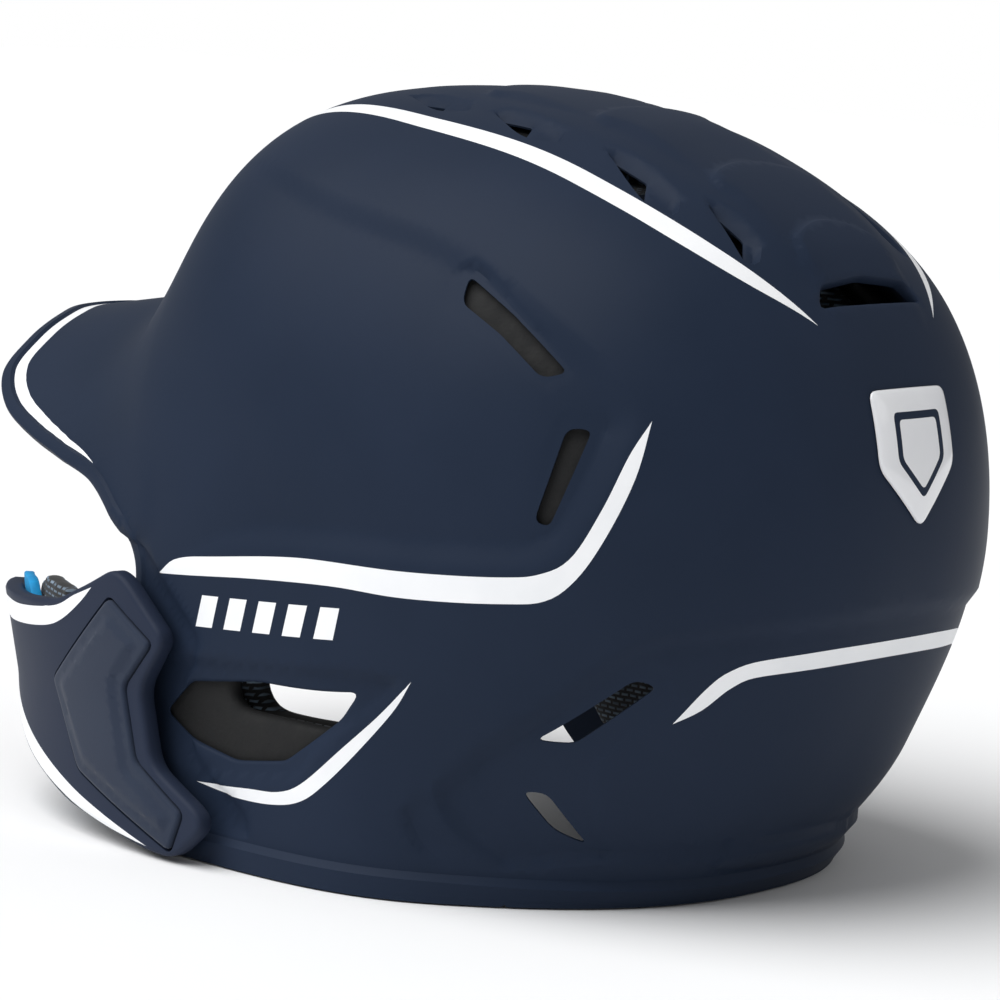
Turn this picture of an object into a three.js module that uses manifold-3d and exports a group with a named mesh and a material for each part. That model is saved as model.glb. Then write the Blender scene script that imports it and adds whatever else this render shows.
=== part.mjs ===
// Batting helmet with two ear flaps and a jaw guard on the wearer's left side.
// Millimetres, +Z up, the bill toward -Y, the wearer's left toward +X.
// The helmet stands on the flat underside of its rim at Z = 0.
import * as THREE from "three";
import { mergeVertices } from "three/addons/utils/BufferGeometryUtils.js";
import Module from "manifold-3d";

const wasm = await Module();
wasm.setup();

// ---- Driving dimensions ----
const HALF_WIDTH = 103; // widest half width of the shell
const BACK_RADIUS = 134; // from the centre of the widest level to the back of the shell
const CENTRE_HEIGHT = 98; // widest level above the rim
const SQUARENESS = 2.4; // exponent of the sections across the head
const WALL = 3; // thickness of the shell
const RIM_HEIGHT = 7; // raised lip round the bottom
const RIM_PROUD = 2;
const RIDGE_PROUD = 1; // raised crown band
const BILL_REACH = 168.4; // front edge of the bill from the centre
const BILL_EDGE_HEIGHT = 34.9; // middle of the bill's edge above the widest level
const BILL_DROP = 21; // fall of the bill 60 mm off the middle
const BILL_SLOPE = 0.19;
const BILL_SHOULDER = 84; // half width beyond which the bill turns down to the temples
const FILLET = 14; // blend between dome and bill
const GUARD_GAP = 1.2; // clearance between flap and jaw guard
const GUARD_THICK = 5.4;
const POCKET_DEPTH = 2.6; // seat of the rubber cover in the guard
const COVER_THICK = 3.1;
const SLIDE_BACK = 5; // travel of the guard along the flap
const SLIDE_FRONT = 2;
const SCREW_R = 2.3;
const SCREW_HEAD_R = 4.5;
const SCREW_HEAD_H = 1.4;
const NUT_R = 6;
const NUT_FLANGE = 1.2;
const BARREL_R = 3.3;
const SPOT_FACE = 0.9; // depth of the flat seat for a nut inside the flap
const SLOT_CLEARANCE = 0.4; // round a screw that slides in its slot
const COVER_CLEARANCE = 0.5; // round the rubber cover in its seat
const GUARD_PAD_BASE = 3;
const GUARD_PAD = 8;
const FOAM = 7; // hard foam against the shell
const COMFORT = 9; // fabric covered pad on the foam
const LINER_GAP = 1; // between the shell and the foam
const EAR_FOAM = 6;
const EAR_COMFORT = 12;
const EMBLEM_THICK = 1;
const FIT = 0.3; // gap between touching pieces

const LENGTH_SCALE = BACK_RADIUS / 134;
const WIDTH_SCALE = HALF_WIDTH / 103;
const HEIGHT_SCALE = CENTRE_HEIGHT / 98;

// Radius of the centre-plane section every 30 degrees, from straight down by way of the back.
const PROFILE = [262, 148, 131.5, 134, 132.5, 117.3, 111.6, 119.7, 112.2, 127, 162, 238];

// ---- Small helpers ----
const clamp01 = (t) => Math.min(1, Math.max(0, t));
const step = (t) => clamp01(t) ** 2 * (3 - 2 * clamp01(t));
const radians = (a) => (a * Math.PI) / 180;

function catmull(p0, p1, p2, p3, t) {
  const a = 2 * p1 + (p2 - p0) * t;
  const b = (2 * p0 - 5 * p1 + 4 * p2 - p3) * t * t;
  const c = (3 * p1 - p0 - 3 * p2 + p3) * t * t * t;
  return 0.5 * (a + b + c);
}

function profileRadius(angle) {
  const turns = ((((angle + 90) % 360) + 360) % 360) / 30;
  const i = Math.floor(turns);
  const at = (k) => PROFILE[(k + 12) % 12] * LENGTH_SCALE;
  return catmull(at(i - 1), at(i), at(i + 1), at(i + 2), turns - i);
}

function direction(azimuth, elevation) {
  const a = radians(azimuth);
  const e = radians(elevation);
  return new THREE.Vector3(Math.sin(a) * Math.cos(e), -Math.cos(a) * Math.cos(e), Math.sin(e));
}

// ---- Surfaces, as distances from the centre of the widest level ----
function domeRadius(d) {
  const across = (Math.abs(d.x) / HALF_WIDTH) ** SQUARENESS;
  const angle = (Math.atan2(d.z, d.y) * 180) / Math.PI;
  const along = (Math.hypot(d.y, d.z) / profileRadius(angle)) ** SQUARENESS;
  return (across + along) ** (-1 / SQUARENESS);
}

function billHeight(x, y) {
  const across = Math.abs(x) / WIDTH_SCALE;
  const shoulder = 0.14 * Math.max(0, across - BILL_SHOULDER) ** 2;
  const drop = BILL_DROP * (across / 60) ** 2.35 + shoulder;
  return BILL_EDGE_HEIGHT - drop + BILL_SLOPE * (y + BILL_REACH * LENGTH_SCALE);
}

function billRadius(d) {
  const under = (t) => t * d.z < billHeight(t * d.x, t * d.y);
  let near = 0;
  let far = 0;
  for (let t = 4; t <= 244; t += 4) {
    if (under(t)) near = t;
  }
  if (near >= 240) return 244;
  far = near + 4;
  for (let k = 0; k < 20; k++) {
    const middle = (near + far) / 2;
    if (under(middle)) near = middle;
    else far = middle;
  }
  return near;
}

function ridgeHeight(x, y) {
  const middle = y / LENGTH_SCALE - 45;
  const half = 43 * (1 - 0.9 * (middle / 100) ** 2) * WIDTH_SCALE;
  const side = step((half - Math.abs(x)) / 11);
  const front = step((middle + 87) / 30);
  const rear = step((67 - middle) / 10);
  return RIDGE_PROUD * side * front * rear;
}

function outerRadius(d) {
  const dome = domeRadius(d);
  let r = dome;
  if (d.y < -0.2) {
    const away = 2 - step((-d.y - 0.2) / 0.3) - step((d.z + 0.28) / 0.2);
    const bill = billRadius(d) - 40 * away;
    const h = Math.max(FILLET - Math.abs(dome - bill), 0) / FILLET;
    r = Math.max(dome, bill) + (h * h * FILLET) / 4;
  }
  if (d.z > 0.3) r += ridgeHeight(r * d.x, r * d.y);
  const height = r * d.z + CENTRE_HEIGHT;
  return r + RIM_PROUD * step((RIM_HEIGHT + 1 - height) / 2);
}

function normalAt(d, radiusOf) {
  const r = radiusOf(d);
  const side = new THREE.Vector3(0, 0, 1).cross(d);
  if (side.length() < 1e-3) side.set(1, 0, 0);
  side.normalize();
  const up = d.clone().cross(side);
  const n = d.clone().multiplyScalar(r);
  for (const t of [side, up]) {
    const a = radiusOf(d.clone().addScaledVector(t, 0.01).normalize());
    const b = radiusOf(d.clone().addScaledVector(t, -0.01).normalize());
    n.addScaledVector(t, -(a - b) / 0.02);
  }
  return n.normalize();
}

// ---- Solids ----
const CENTRE = new THREE.Vector3(0, 0, CENTRE_HEIGHT);

function solidOf(positions, triangles) {
  const geometry = new THREE.BufferGeometry();
  geometry.setAttribute("position", new THREE.Float32BufferAttribute(positions, 3));
  geometry.setIndex(triangles);
  return toSolid(geometry);
}

function toSolid(geometry) {
  const plain = geometry.index ? geometry.toNonIndexed() : geometry.clone();
  plain.deleteAttribute("normal");
  plain.deleteAttribute("uv");
  const merged = mergeVertices(plain, 1e-3);
  const mesh = new wasm.Mesh({
    numProp: 3,
    vertProperties: new Float32Array(merged.attributes.position.array),
    triVerts: new Uint32Array(merged.index.array),
  });
  return new wasm.Manifold(mesh);
}

// A closed slab between two point grids of rows by columns; wrapped grids join last column to first.
function slab(outer, inner, wrapped) {
  const rows = outer.length;
  const columns = outer[0].length;
  const positions = [];
  const triangles = [];
  for (const grid of [outer, inner]) {
    for (const row of grid) for (const p of row) positions.push(p.x, p.y, p.z);
  }
  const half = rows * columns;
  const at = (layer, i, j) => layer * half + i * columns + ((j + columns) % columns);
  const quad = (a, b, c, d) => triangles.push(a, b, c, a, c, d);
  const last = wrapped ? columns : columns - 1;
  for (let i = 0; i < rows - 1; i++) {
    for (let j = 0; j < last; j++) {
      quad(at(0, i, j), at(0, i + 1, j), at(0, i + 1, j + 1), at(0, i, j + 1));
      quad(at(1, i, j), at(1, i, j + 1), at(1, i + 1, j + 1), at(1, i + 1, j));
    }
  }
  for (let j = 0; j < last; j++) {
    quad(at(0, rows - 1, j), at(1, rows - 1, j), at(1, rows - 1, j + 1), at(0, rows - 1, j + 1));
    if (!wrapped) quad(at(0, 0, j + 1), at(1, 0, j + 1), at(1, 0, j), at(0, 0, j));
  }
  if (!wrapped) {
    for (let i = 0; i < rows - 1; i++) {
      quad(at(0, i, 0), at(1, i, 0), at(1, i + 1, 0), at(0, i + 1, 0));
      const j = columns - 1;
      quad(at(0, i + 1, j), at(1, i + 1, j), at(1, i, j), at(0, i, j));
    }
  }
  const made = solidOf(positions, triangles);
  return made.volume() > 0 ? made : solidOf(positions, triangles.reverse());
}

// Prisms across the head, along it and upright, from outlines given in the two other axes.
const SIDE = new THREE.Matrix4().makeBasis(
  new THREE.Vector3(0, 1, 0),
  new THREE.Vector3(0, 0, 1),
  new THREE.Vector3(1, 0, 0),
);
const REAR = new THREE.Matrix4().makeBasis(
  new THREE.Vector3(1, 0, 0),
  new THREE.Vector3(0, 0, 1),
  new THREE.Vector3(0, -1, 0),
);
const TOP = new THREE.Matrix4();

function prism(outline, view, from, to) {
  const shape = new THREE.Shape(outline.map(([a, b]) => new THREE.Vector2(a, b)));
  const geometry = new THREE.ExtrudeGeometry(shape, { depth: to - from, bevelEnabled: false });
  geometry.translate(0, 0, from);
  return toSolid(geometry.applyMatrix4(view));
}

function sideOutline(outline) {
  return outline.map(([y, z]) => [y * LENGTH_SCALE, z * HEIGHT_SCALE]);
}

// A closed outline through the points with its corners cut by arcs of the given reach.
function rounded(outline, reach, steps) {
  const result = [];
  const n = outline.length;
  for (let i = 0; i < n; i++) {
    const p = new THREE.Vector2(...outline[i]);
    const before = new THREE.Vector2(...outline[(i + n - 1) % n]).sub(p);
    const after = new THREE.Vector2(...outline[(i + 1) % n]).sub(p);
    const a = p.clone().add(before.setLength(Math.min(reach, before.length() * 0.45)));
    const b = p.clone().add(after.setLength(Math.min(reach, after.length() * 0.45)));
    for (let k = 0; k <= steps; k++) {
      const t = k / steps;
      const q = a.clone().lerp(p, t).lerp(p.clone().lerp(b, t), t);
      result.push([q.x, q.y]);
    }
  }
  return result;
}

// The outline moved outwards by the same amount along every edge.
function grown(outline, amount) {
  const n = outline.length;
  const points = outline.map(([a, b]) => new THREE.Vector2(a, b));
  const turn = Math.sign(THREE.ShapeUtils.area(points));
  return points.map((p, i) => {
    const before = p.clone().sub(points[(i + n - 1) % n]).normalize();
    const after = points[(i + 1) % n].clone().sub(p).normalize();
    const bisector = new THREE.Vector2(before.y + after.y, -before.x - after.x).normalize();
    const reach = (turn * amount) / (bisector.x * after.y - bisector.y * after.x);
    return [p.x + bisector.x * reach, p.y + bisector.y * reach];
  });
}

// ---- Shell ----
const POLE = new THREE.Vector3(0, 0.64, 0.77).normalize();
const BILL_EDGE = [
  [0, -168.4, 34.9],
  [15, -167.4, 34.8],
  [30, -163.8, 33.4],
  [45, -157.4, 27.2],
  [58, -148.4, 17.8],
  [69, -135, 10.3],
  [77, -119.5, 5.5],
  [83.5, -100.5, 1.4],
  [88.5, -79.5, -2.6],
  [93, -66.5, -10],
  [97, -57.5, -19.5],
  [99, -57.2, -31],
  [100, -63, -45],
  [100.5, -66, -60],
  [100.5, -64, -76],
  [99.5, -57, -88],
  [98.5, -48, -95.5],
];
const RIM_START = 64; // azimuth of the front corner of the flap's flat underside
const RIM_STEPS = 26;
const RINGS = 15;

function rimDirection(azimuth) {
  let low = -80;
  let high = -5;
  for (let k = 0; k < 30; k++) {
    const middle = (low + high) / 2;
    const d = direction(azimuth, middle);
    if (outerRadius(d) * d.z < -CENTRE_HEIGHT) low = middle;
    else high = middle;
  }
  return direction(azimuth, high);
}

function shellBoundary() {
  const points = BILL_EDGE.map(
    ([x, y, z]) => new THREE.Vector3(x * WIDTH_SCALE, y * LENGTH_SCALE, z * HEIGHT_SCALE),
  );
  const curve = new THREE.CatmullRomCurve3(points, false, "centripetal");
  const half = [];
  const count = 22;
  for (let k = 0; k < count; k++) {
    half.push({ d: curve.getPointAt(k / count).normalize(), rim: false });
  }
  for (let k = 0; k <= RIM_STEPS; k++) {
    const azimuth = RIM_START + ((180 - RIM_START) * k) / RIM_STEPS;
    half.push({ d: rimDirection(azimuth), rim: true });
  }
  const other = half.slice(1, -1).reverse();
  const mirrored = other.map(({ d, rim }) => ({ d: new THREE.Vector3(-d.x, d.y, d.z), rim }));
  return [...half, ...mirrored];
}

function shellBody() {
  const boundary = shellBoundary();
  const outer = [];
  const inner = [];
  for (let i = 1; i <= RINGS; i++) {
    const share = i / RINGS;
    const outerRow = [];
    const innerRow = [];
    boundary.forEach(({ d, rim }) => {
      const angle = POLE.angleTo(d);
      const w = Math.sin(angle);
      const along = POLE.clone().multiplyScalar(Math.sin((1 - share) * angle) / w);
      along.addScaledVector(d, Math.sin(share * angle) / w).normalize();
      const p = along.clone().multiplyScalar(outerRadius(along));
      const n = normalAt(along, outerRadius);
      if (i === RINGS && rim) {
        p.z = -CENTRE_HEIGHT;
        n.z = 0;
        n.normalize().multiplyScalar(1 + RIM_PROUD / WALL);
      }
      outerRow.push(p.clone().add(CENTRE));
      innerRow.push(p.clone().addScaledVector(n, -WALL).add(CENTRE));
    });
    outer.push(outerRow);
    inner.push(innerRow);
  }
  const tipOut = POLE.clone().multiplyScalar(outerRadius(POLE)).add(CENTRE);
  const tipIn = tipOut.clone().addScaledVector(normalAt(POLE, outerRadius), -WALL);
  outer.unshift(boundary.map(() => tipOut));
  inner.unshift(boundary.map(() => tipIn));
  return slab(outer, inner, true);
}

// Holes, as outlines in the side view: y, z from the rim.
const EAR_HOLE = [
  [-42, 38],
  [-32, 48],
  [-7, 52],
  [27, 54],
  [22, 46],
  [4, 32],
  [-14, 29],
  [-31, 32],
];
const SIDE_SLOTS = [
  [
    [43, 167],
    [44, 160],
    [58, 153],
    [72, 143],
    [78, 145],
    [60, 158],
  ],
  [
    [81, 131],
    [87, 131],
    [80, 105],
    [76, 106],
  ],
  [
    [75, 47],
    [99, 66],
    [103, 64],
    [84, 47],
  ],
  [
    [69, 32],
    [75, 32],
    [80, 17],
    [74, 21],
  ],
];
const CROWN_SCOOPS = [
  [
    [31, -22],
    [38, -8],
    [31, -11],
  ],
  [
    [36, 12],
    [43, 27],
    [36, 24],
  ],
  [
    [37, 52],
    [44, 70],
    [37, 65],
  ],
  [
    [32, 82],
    [37, 99],
    [31, 94],
  ],
];
const REAR_SLOT = [
  [-23, 163],
  [23, 163],
  [19, 168],
  [0, 170],
  [-19, 168],
];
const SCREW_POINTS = [
  [-41.5, 16],
  [-52.5, 52],
];

function mirrorOutline(outline) {
  return outline.map(([x, y]) => [-x, y]).reverse();
}

function union(solids) {
  return solids.reduce((sum, s) => sum.add(s));
}

function xCylinder(radius, from, to, [y, z], segments = 24) {
  const geometry = new THREE.CylinderGeometry(radius, radius, to - from, segments);
  geometry.rotateZ(-Math.PI / 2);
  geometry.translate((from + to) / 2, y * LENGTH_SCALE, z * HEIGHT_SCALE);
  return toSolid(geometry);
}

const FLAP_X = (y, z) => {
  const rho = Math.hypot(y * LENGTH_SCALE, z * HEIGHT_SCALE - CENTRE_HEIGHT);
  const angle = (Math.atan2(z * HEIGHT_SCALE - CENTRE_HEIGHT, y * LENGTH_SCALE) * 180) / Math.PI;
  const share = 1 - (rho / profileRadius(angle)) ** SQUARENESS;
  return HALF_WIDTH * share ** (1 / SQUARENESS);
};

function shellSolid() {
  const cuts = [];
  for (const outline of [EAR_HOLE, ...SIDE_SLOTS]) {
    const soft = rounded(sideOutline(outline), 2.5, 2);
    cuts.push(prism(soft, SIDE, 40, HALF_WIDTH + 20));
    cuts.push(prism(soft, SIDE, -HALF_WIDTH - 20, -40));
  }
  for (const outline of CROWN_SCOOPS) {
    const scaled = outline.map(([x, y]) => [x * WIDTH_SCALE, y * LENGTH_SCALE]);
    const top = CENTRE_HEIGHT + 160 * LENGTH_SCALE;
    cuts.push(prism(scaled, TOP, CENTRE_HEIGHT + 30, top));
    cuts.push(prism(mirrorOutline(scaled), TOP, CENTRE_HEIGHT + 30, top));
  }
  const slot = REAR_SLOT.map(([x, z]) => [x * WIDTH_SCALE, CENTRE_HEIGHT + (z - 98) * LENGTH_SCALE]);
  cuts.push(prism(slot, REAR, -BACK_RADIUS - 20, -70 * LENGTH_SCALE));
  for (const point of SCREW_POINTS) {
    const wallInside = FLAP_X(...point) - WALL;
    cuts.push(xCylinder(BARREL_R + FIT, HALF_WIDTH - 20, HALF_WIDTH + 10, point));
    cuts.push(xCylinder(NUT_R + 1, HALF_WIDTH - 20, wallInside + SPOT_FACE, point, 32));
  }
  return shellBody().subtract(union(cuts));
}

// ---- Jaw guard ----
// Half breadth of the guard's inner face in plan, at a distance forward of the centre.
function guardReach(z) {
  return (145 - 0.36 * Math.max(0, 60 - z) + 0.2 * Math.max(0, 35 - z)) * LENGTH_SCALE;
}

function guardX(y, z) {
  const a = HALF_WIDTH + GUARD_GAP;
  const b = guardReach(z);
  const t = Math.max(0, -(y + 5 * LENGTH_SCALE)) / b;
  return a * (1 - Math.min(1, t) ** 2.6) ** (1 / 2.6);
}

// The inner face at a share of its length, moved outwards along its normal in plan.
function guardPoint(share, z, offset) {
  const b = guardReach(z);
  const along = (t) => -5 * LENGTH_SCALE - b * Math.sin(t * 1.4);
  const place = (t) => new THREE.Vector3(guardX(along(t), z), along(t), z * HEIGHT_SCALE);
  const tangent = place(share + 0.005).sub(place(share - 0.005)).normalize();
  return place(share).add(new THREE.Vector3(-tangent.y, tangent.x, 0).setLength(offset || 1e-9));
}

function guardBand(inside, outside) {
  const rows = 9;
  const columns = 24;
  const grids = [outside, inside].map((offset) => {
    const grid = [];
    for (let i = 0; i <= rows; i++) {
      const row = [];
      const z = -6 + (94 * i) / rows;
      for (let j = 0; j <= columns; j++) row.push(guardPoint(j / columns, z, offset));
      grid.push(row);
    }
    return grid;
  });
  return slab(grids[0], grids[1], false);
}

const GUARD_OUTLINE = [
  [-138, 58],
  [-105, 60],
  [-82, 63],
  [-67, 70],
  [-56, 76],
  [-50, 74],
  [-33, 60],
  [-42, 45],
  [-36, 25],
  [-17, 15],
  [-16, 10],
  [-26, 1],
  [-35, 1],
  [-73, 7.5],
  [-98, 15.2],
  [-121, 26],
  [-134, 40.5],
];
const COVER_OUTLINE = [
  [-81, 41],
  [-56, 68],
  [-38, 58],
  [-48, 45],
  [-42, 25],
  [-23, 14],
  [-27, 3],
  [-67, 18],
];
const GUARD_STRIP_OUTLINE = [
  [-130, 62],
  [-114, 63],
  [-107, 54],
  [-78, 50],
  [-78, 14],
  [-94, 19],
  [-112, 29],
  [-125, 42],
];
const GUARD_PAD_OUTLINE = [
  [-126, 62],
  [-104, 66],
  [-90, 65],
  [-78, 56],
  [-78, 14],
  [-94, 19],
  [-112, 29],
  [-123, 42],
];

function onGuard(outline, inside, outside, corner) {
  const soft = rounded(sideOutline(outline), corner, 3);
  return guardBand(inside, outside).intersect(prism(soft, SIDE, 0, HALF_WIDTH + 60));
}

// A stadium-shaped prism across the head, with room for the guard's travel past a screw.
function travelSlot(radius, from, to, [y, z]) {
  const outline = [];
  const ends = [
    [SLIDE_FRONT, -Math.PI / 2],
    [-SLIDE_BACK, Math.PI / 2],
  ];
  for (const [shift, start] of ends) {
    for (let k = 0; k <= 16; k++) {
      const a = (k / 16) * Math.PI + start;
      const middle = y * LENGTH_SCALE + shift;
      outline.push([middle + radius * Math.cos(a), z * HEIGHT_SCALE + radius * Math.sin(a)]);
    }
  }
  return prism(outline, SIDE, from, to);
}

// Outermost point of the pocket floor under a screw head, anywhere in its travel.
function floorX([y, z]) {
  const reach = SLIDE_FRONT + SCREW_HEAD_R;
  return guardX(y * LENGTH_SCALE + reach, z) + GUARD_THICK - POCKET_DEPTH;
}

function guardSolid() {
  const seat = grown(COVER_OUTLINE, COVER_CLEARANCE);
  const cuts = [onGuard(seat, GUARD_THICK - POCKET_DEPTH, GUARD_THICK + 4, 3)];
  for (const point of SCREW_POINTS) {
    cuts.push(travelSlot(SCREW_R + SLOT_CLEARANCE, 60, HALF_WIDTH + 30, point));
  }
  return onGuard(GUARD_OUTLINE, 0, GUARD_THICK, 5).subtract(union(cuts));
}

function coverSolid() {
  const inside = GUARD_THICK - POCKET_DEPTH + FIT;
  const cuts = SCREW_POINTS.map((point) => {
    const top = floorX(point) + FIT + SCREW_HEAD_H + FIT;
    return travelSlot(SCREW_HEAD_R + SLOT_CLEARANCE, 60, top, point);
  });
  return onGuard(COVER_OUTLINE, inside, inside + COVER_THICK, 3).subtract(union(cuts));
}

function screwSolid(point) {
  const seat = floorX(point) + FIT;
  const tip = FLAP_X(...point) - WALL - 1;
  const shank = xCylinder(SCREW_R, tip, seat + 0.5, point);
  return shank.add(xCylinder(SCREW_HEAD_R, seat, seat + SCREW_HEAD_H, point, 28));
}

function nutSolid(point) {
  const seat = FLAP_X(...point) - WALL + SPOT_FACE;
  const flange = xCylinder(NUT_R, seat - FIT - NUT_FLANGE, seat - FIT, point, 28);
  const barrel = xCylinder(BARREL_R, seat - FIT - 0.5, seat + 1.6, point);
  const bore = xCylinder(SCREW_R + FIT, seat - 6, seat + 6, point);
  return flange.add(barrel).subtract(bore);
}

// ---- Liner ----
// A pad on the inside of the dome, between two depths under the wall, thinner at its edges.
function domePad(place, rows, columns, from, to) {
  const grids = [from, to].map((depth) => {
    const grid = [];
    for (let i = 0; i <= rows; i++) {
      const row = [];
      for (let j = 0; j <= columns; j++) {
        const u = (2 * j) / columns - 1;
        const v = (2 * i) / rows - 1;
        const edge = Math.max(Math.abs(u), Math.abs(v)) ** 4;
        const d = place(u * (1 - 0.1 * v * v), v * (1 - 0.1 * u * u));
        const thick = depth > from ? (to - from) * (1 - 0.35 * edge) : 0;
        const inside = normalAt(d, domeRadius).multiplyScalar(-WALL - from - thick);
        row.push(d.clone().multiplyScalar(domeRadius(d)).add(inside).add(CENTRE));
      }
      grid.push(row);
    }
    return grid;
  });
  return slab(grids[0], grids[1], false);
}

// Directions over a patch given by its middle and its half spans, in degrees.
function aroundHead(azimuth, spanAzimuth, elevation, spanElevation) {
  return (u, v) => direction(azimuth + u * spanAzimuth, elevation + v * spanElevation);
}

function overCrown(spanX, middleY, spanY) {
  return (u, v) => new THREE.Vector3(u * spanX, middleY + v * spanY, 100).normalize();
}

// A patch above the ear that leans forward as it rises.
function overEar(side) {
  return (u, v) => direction(side * (100 + 38 * u - 4 * v * (1 + u)), 18.5 + 21.5 * v);
}

const PADS = {
  front: [aroundHead(0, 44, 33, 20), 7, 12],
  crown: [overCrown(34, 8, 40), 8, 8],
  side_left: [overEar(1), 6, 10],
  side_right: [overEar(-1), 6, 10],
  rear: [aroundHead(180, 33, 6, 23), 8, 8],
};

const EAR_PAD_OUTLINE = [
  [-31, 14],
  [40, 14],
  [56, 30],
  [54, 70],
  [30, 82],
  [-30, 78],
  [-40, 62],
  [-42, 46],
  [-58, 43],
  [-58, 28],
  [-45, 24.5],
  [-33, 26],
];
const EAR_PAD_OPENING = [
  [-20, 43],
  [-16, 60],
  [30, 64],
  [35, 52],
  [22, 42.5],
];

function earPad(side, from, to) {
  const rows = 6;
  const columns = 8;
  const grids = [from, to].map((depth) => {
    const grid = [];
    for (let i = 0; i <= rows; i++) {
      const z = 8 + (78 * i) / rows;
      const row = [];
      for (let j = 0; j <= columns; j++) {
        const y = -62 + (124 * j) / columns;
        const flap = FLAP_X(y, z);
        const slant = Math.hypot(1, FLAP_X(y + 1, z) - flap, FLAP_X(y, z + 1) - flap);
        const x = flap - (WALL + depth) * slant;
        row.push(new THREE.Vector3(side * x, y * LENGTH_SCALE, z * HEIGHT_SCALE));
      }
      grid.push(row);
    }
    return grid;
  });
  const reach = [HALF_WIDTH + 20, 30].map((x) => side * x).sort((a, b) => a - b);
  const outline = prism(rounded(sideOutline(EAR_PAD_OUTLINE), 12, 4), SIDE, ...reach);
  const opening = prism(rounded(sideOutline(EAR_PAD_OPENING), 8, 3), SIDE, ...reach);
  return slab(grids[0], grids[1], false).intersect(outline).subtract(opening);
}

// ---- Emblem: a plain five-sided badge on the back ----
const EMBLEM = [
  [-17, 142],
  [-17, 122],
  [0, 106],
  [17, 122],
  [17, 142],
];

function emblemSolid() {
  const grids = [FIT + EMBLEM_THICK, FIT].map((lift) => {
    const grid = [];
    for (let i = 0; i <= 8; i++) {
      const row = [];
      for (let j = 0; j <= 8; j++) {
        const d = direction(168 + 3 * j, 1 + 2.6 * i);
        row.push(d.multiplyScalar(outerRadius(d) + lift).add(CENTRE));
      }
      grid.push(row);
    }
    return grid;
  });
  const outline = EMBLEM.map(([x, z]) => [x, CENTRE_HEIGHT + (z - 98) * LENGTH_SCALE]);
  const badge = prism(rounded(outline, 3, 3), REAR, -BACK_RADIUS - 20, -80);
  return slab(grids[0], grids[1], false).intersect(badge);
}

// ---- The part ----
const part = new THREE.Group();
part.name = "batting_helmet";

function addNode(name, solid, color, roughness, metalness) {
  const data = solid.getMesh();
  const geometry = new THREE.BufferGeometry();
  const positions = new Float32Array(data.numVert * 3);
  for (let i = 0; i < data.numVert; i++) {
    for (let k = 0; k < 3; k++) positions[3 * i + k] = data.vertProperties[i * data.numProp + k];
  }
  geometry.setAttribute("position", new THREE.BufferAttribute(positions, 3));
  geometry.setIndex(new THREE.BufferAttribute(data.triVerts, 1));
  const mesh = new THREE.Mesh(geometry, new THREE.MeshStandardMaterial({ color, roughness, metalness }));
  mesh.name = name;
  part.add(mesh);
}

const NAVY = 0x333f53;
const FOAM_BLACK = 0x1b1c1f;
const FABRIC = 0x23262c;

addNode("shell", shellSolid(), NAVY, 0.55, 0);
addNode("rear_emblem", emblemSolid(), 0xe4e5e8, 0.2, 0);
addNode("jaw_guard", guardSolid(), 0x3a4153, 0.55, 0);
addNode("jaw_guard_cover", coverSolid(), 0x3b4658, 0.75, 0);
const padBack = -FIT - GUARD_PAD_BASE;
addNode("jaw_guard_pad_base", onGuard(GUARD_STRIP_OUTLINE, padBack, -FIT, 6), 0x0995d0, 0.8, 0);
const padFront = padBack - FIT;
const guardPad = onGuard(GUARD_PAD_OUTLINE, padFront - GUARD_PAD, padFront, 6);
addNode("jaw_guard_pad", guardPad, FABRIC, 0.95, 0);
SCREW_POINTS.forEach((point, i) => {
  addNode(`guard_screw_${i + 1}`, screwSolid(point), 0x8d9094, 0.3, 1);
  addNode(`guard_nut_${i + 1}`, nutSolid(point), 0x9a9c9f, 0.4, 1);
});
for (const [name, [place, rows, columns]] of Object.entries(PADS)) {
  const foam = domePad(place, rows, columns, LINER_GAP, LINER_GAP + FOAM);
  addNode(`foam_${name}`, foam, FOAM_BLACK, 0.9, 0);
  const under = LINER_GAP + FOAM + FIT;
  addNode(`pad_${name}`, domePad(place, rows, columns, under, under + COMFORT), FABRIC, 0.95, 0);
}
for (const [side, sign] of [["left", 1], ["right", -1]]) {
  addNode(`foam_ear_${side}`, earPad(sign, LINER_GAP, LINER_GAP + EAR_FOAM), FOAM_BLACK, 0.9, 0);
  const under = LINER_GAP + EAR_FOAM + FIT;
  addNode(`pad_ear_${side}`, earPad(sign, under, under + EAR_COMFORT), FABRIC, 0.95, 0);
}

export default part;
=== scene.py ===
"""Looks of a batting helmet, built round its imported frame: an add-on run as a script."""

import math

import bmesh
import bpy
import numpy as np
from mathutils import Matrix, Vector, kdtree
from mathutils.geometry import delaunay_2d_cdt


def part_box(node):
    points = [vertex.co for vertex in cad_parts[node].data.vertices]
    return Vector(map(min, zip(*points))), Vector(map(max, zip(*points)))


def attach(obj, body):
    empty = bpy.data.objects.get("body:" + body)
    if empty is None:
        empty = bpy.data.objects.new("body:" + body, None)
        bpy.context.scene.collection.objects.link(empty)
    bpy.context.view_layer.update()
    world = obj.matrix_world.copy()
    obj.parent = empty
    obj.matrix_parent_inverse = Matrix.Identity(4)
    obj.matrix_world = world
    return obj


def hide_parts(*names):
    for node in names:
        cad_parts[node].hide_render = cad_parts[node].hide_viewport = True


bl_info = {
    "name": "Batting Helmet",
    "version": (1, 0, 0),
    "blender": (4, 5, 0),
    "location": "View3D > Sidebar > Helmet",
    "description": "Builds a batting helmet with its liner, jaw guard and studio",
    "category": "Object",
}

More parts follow.
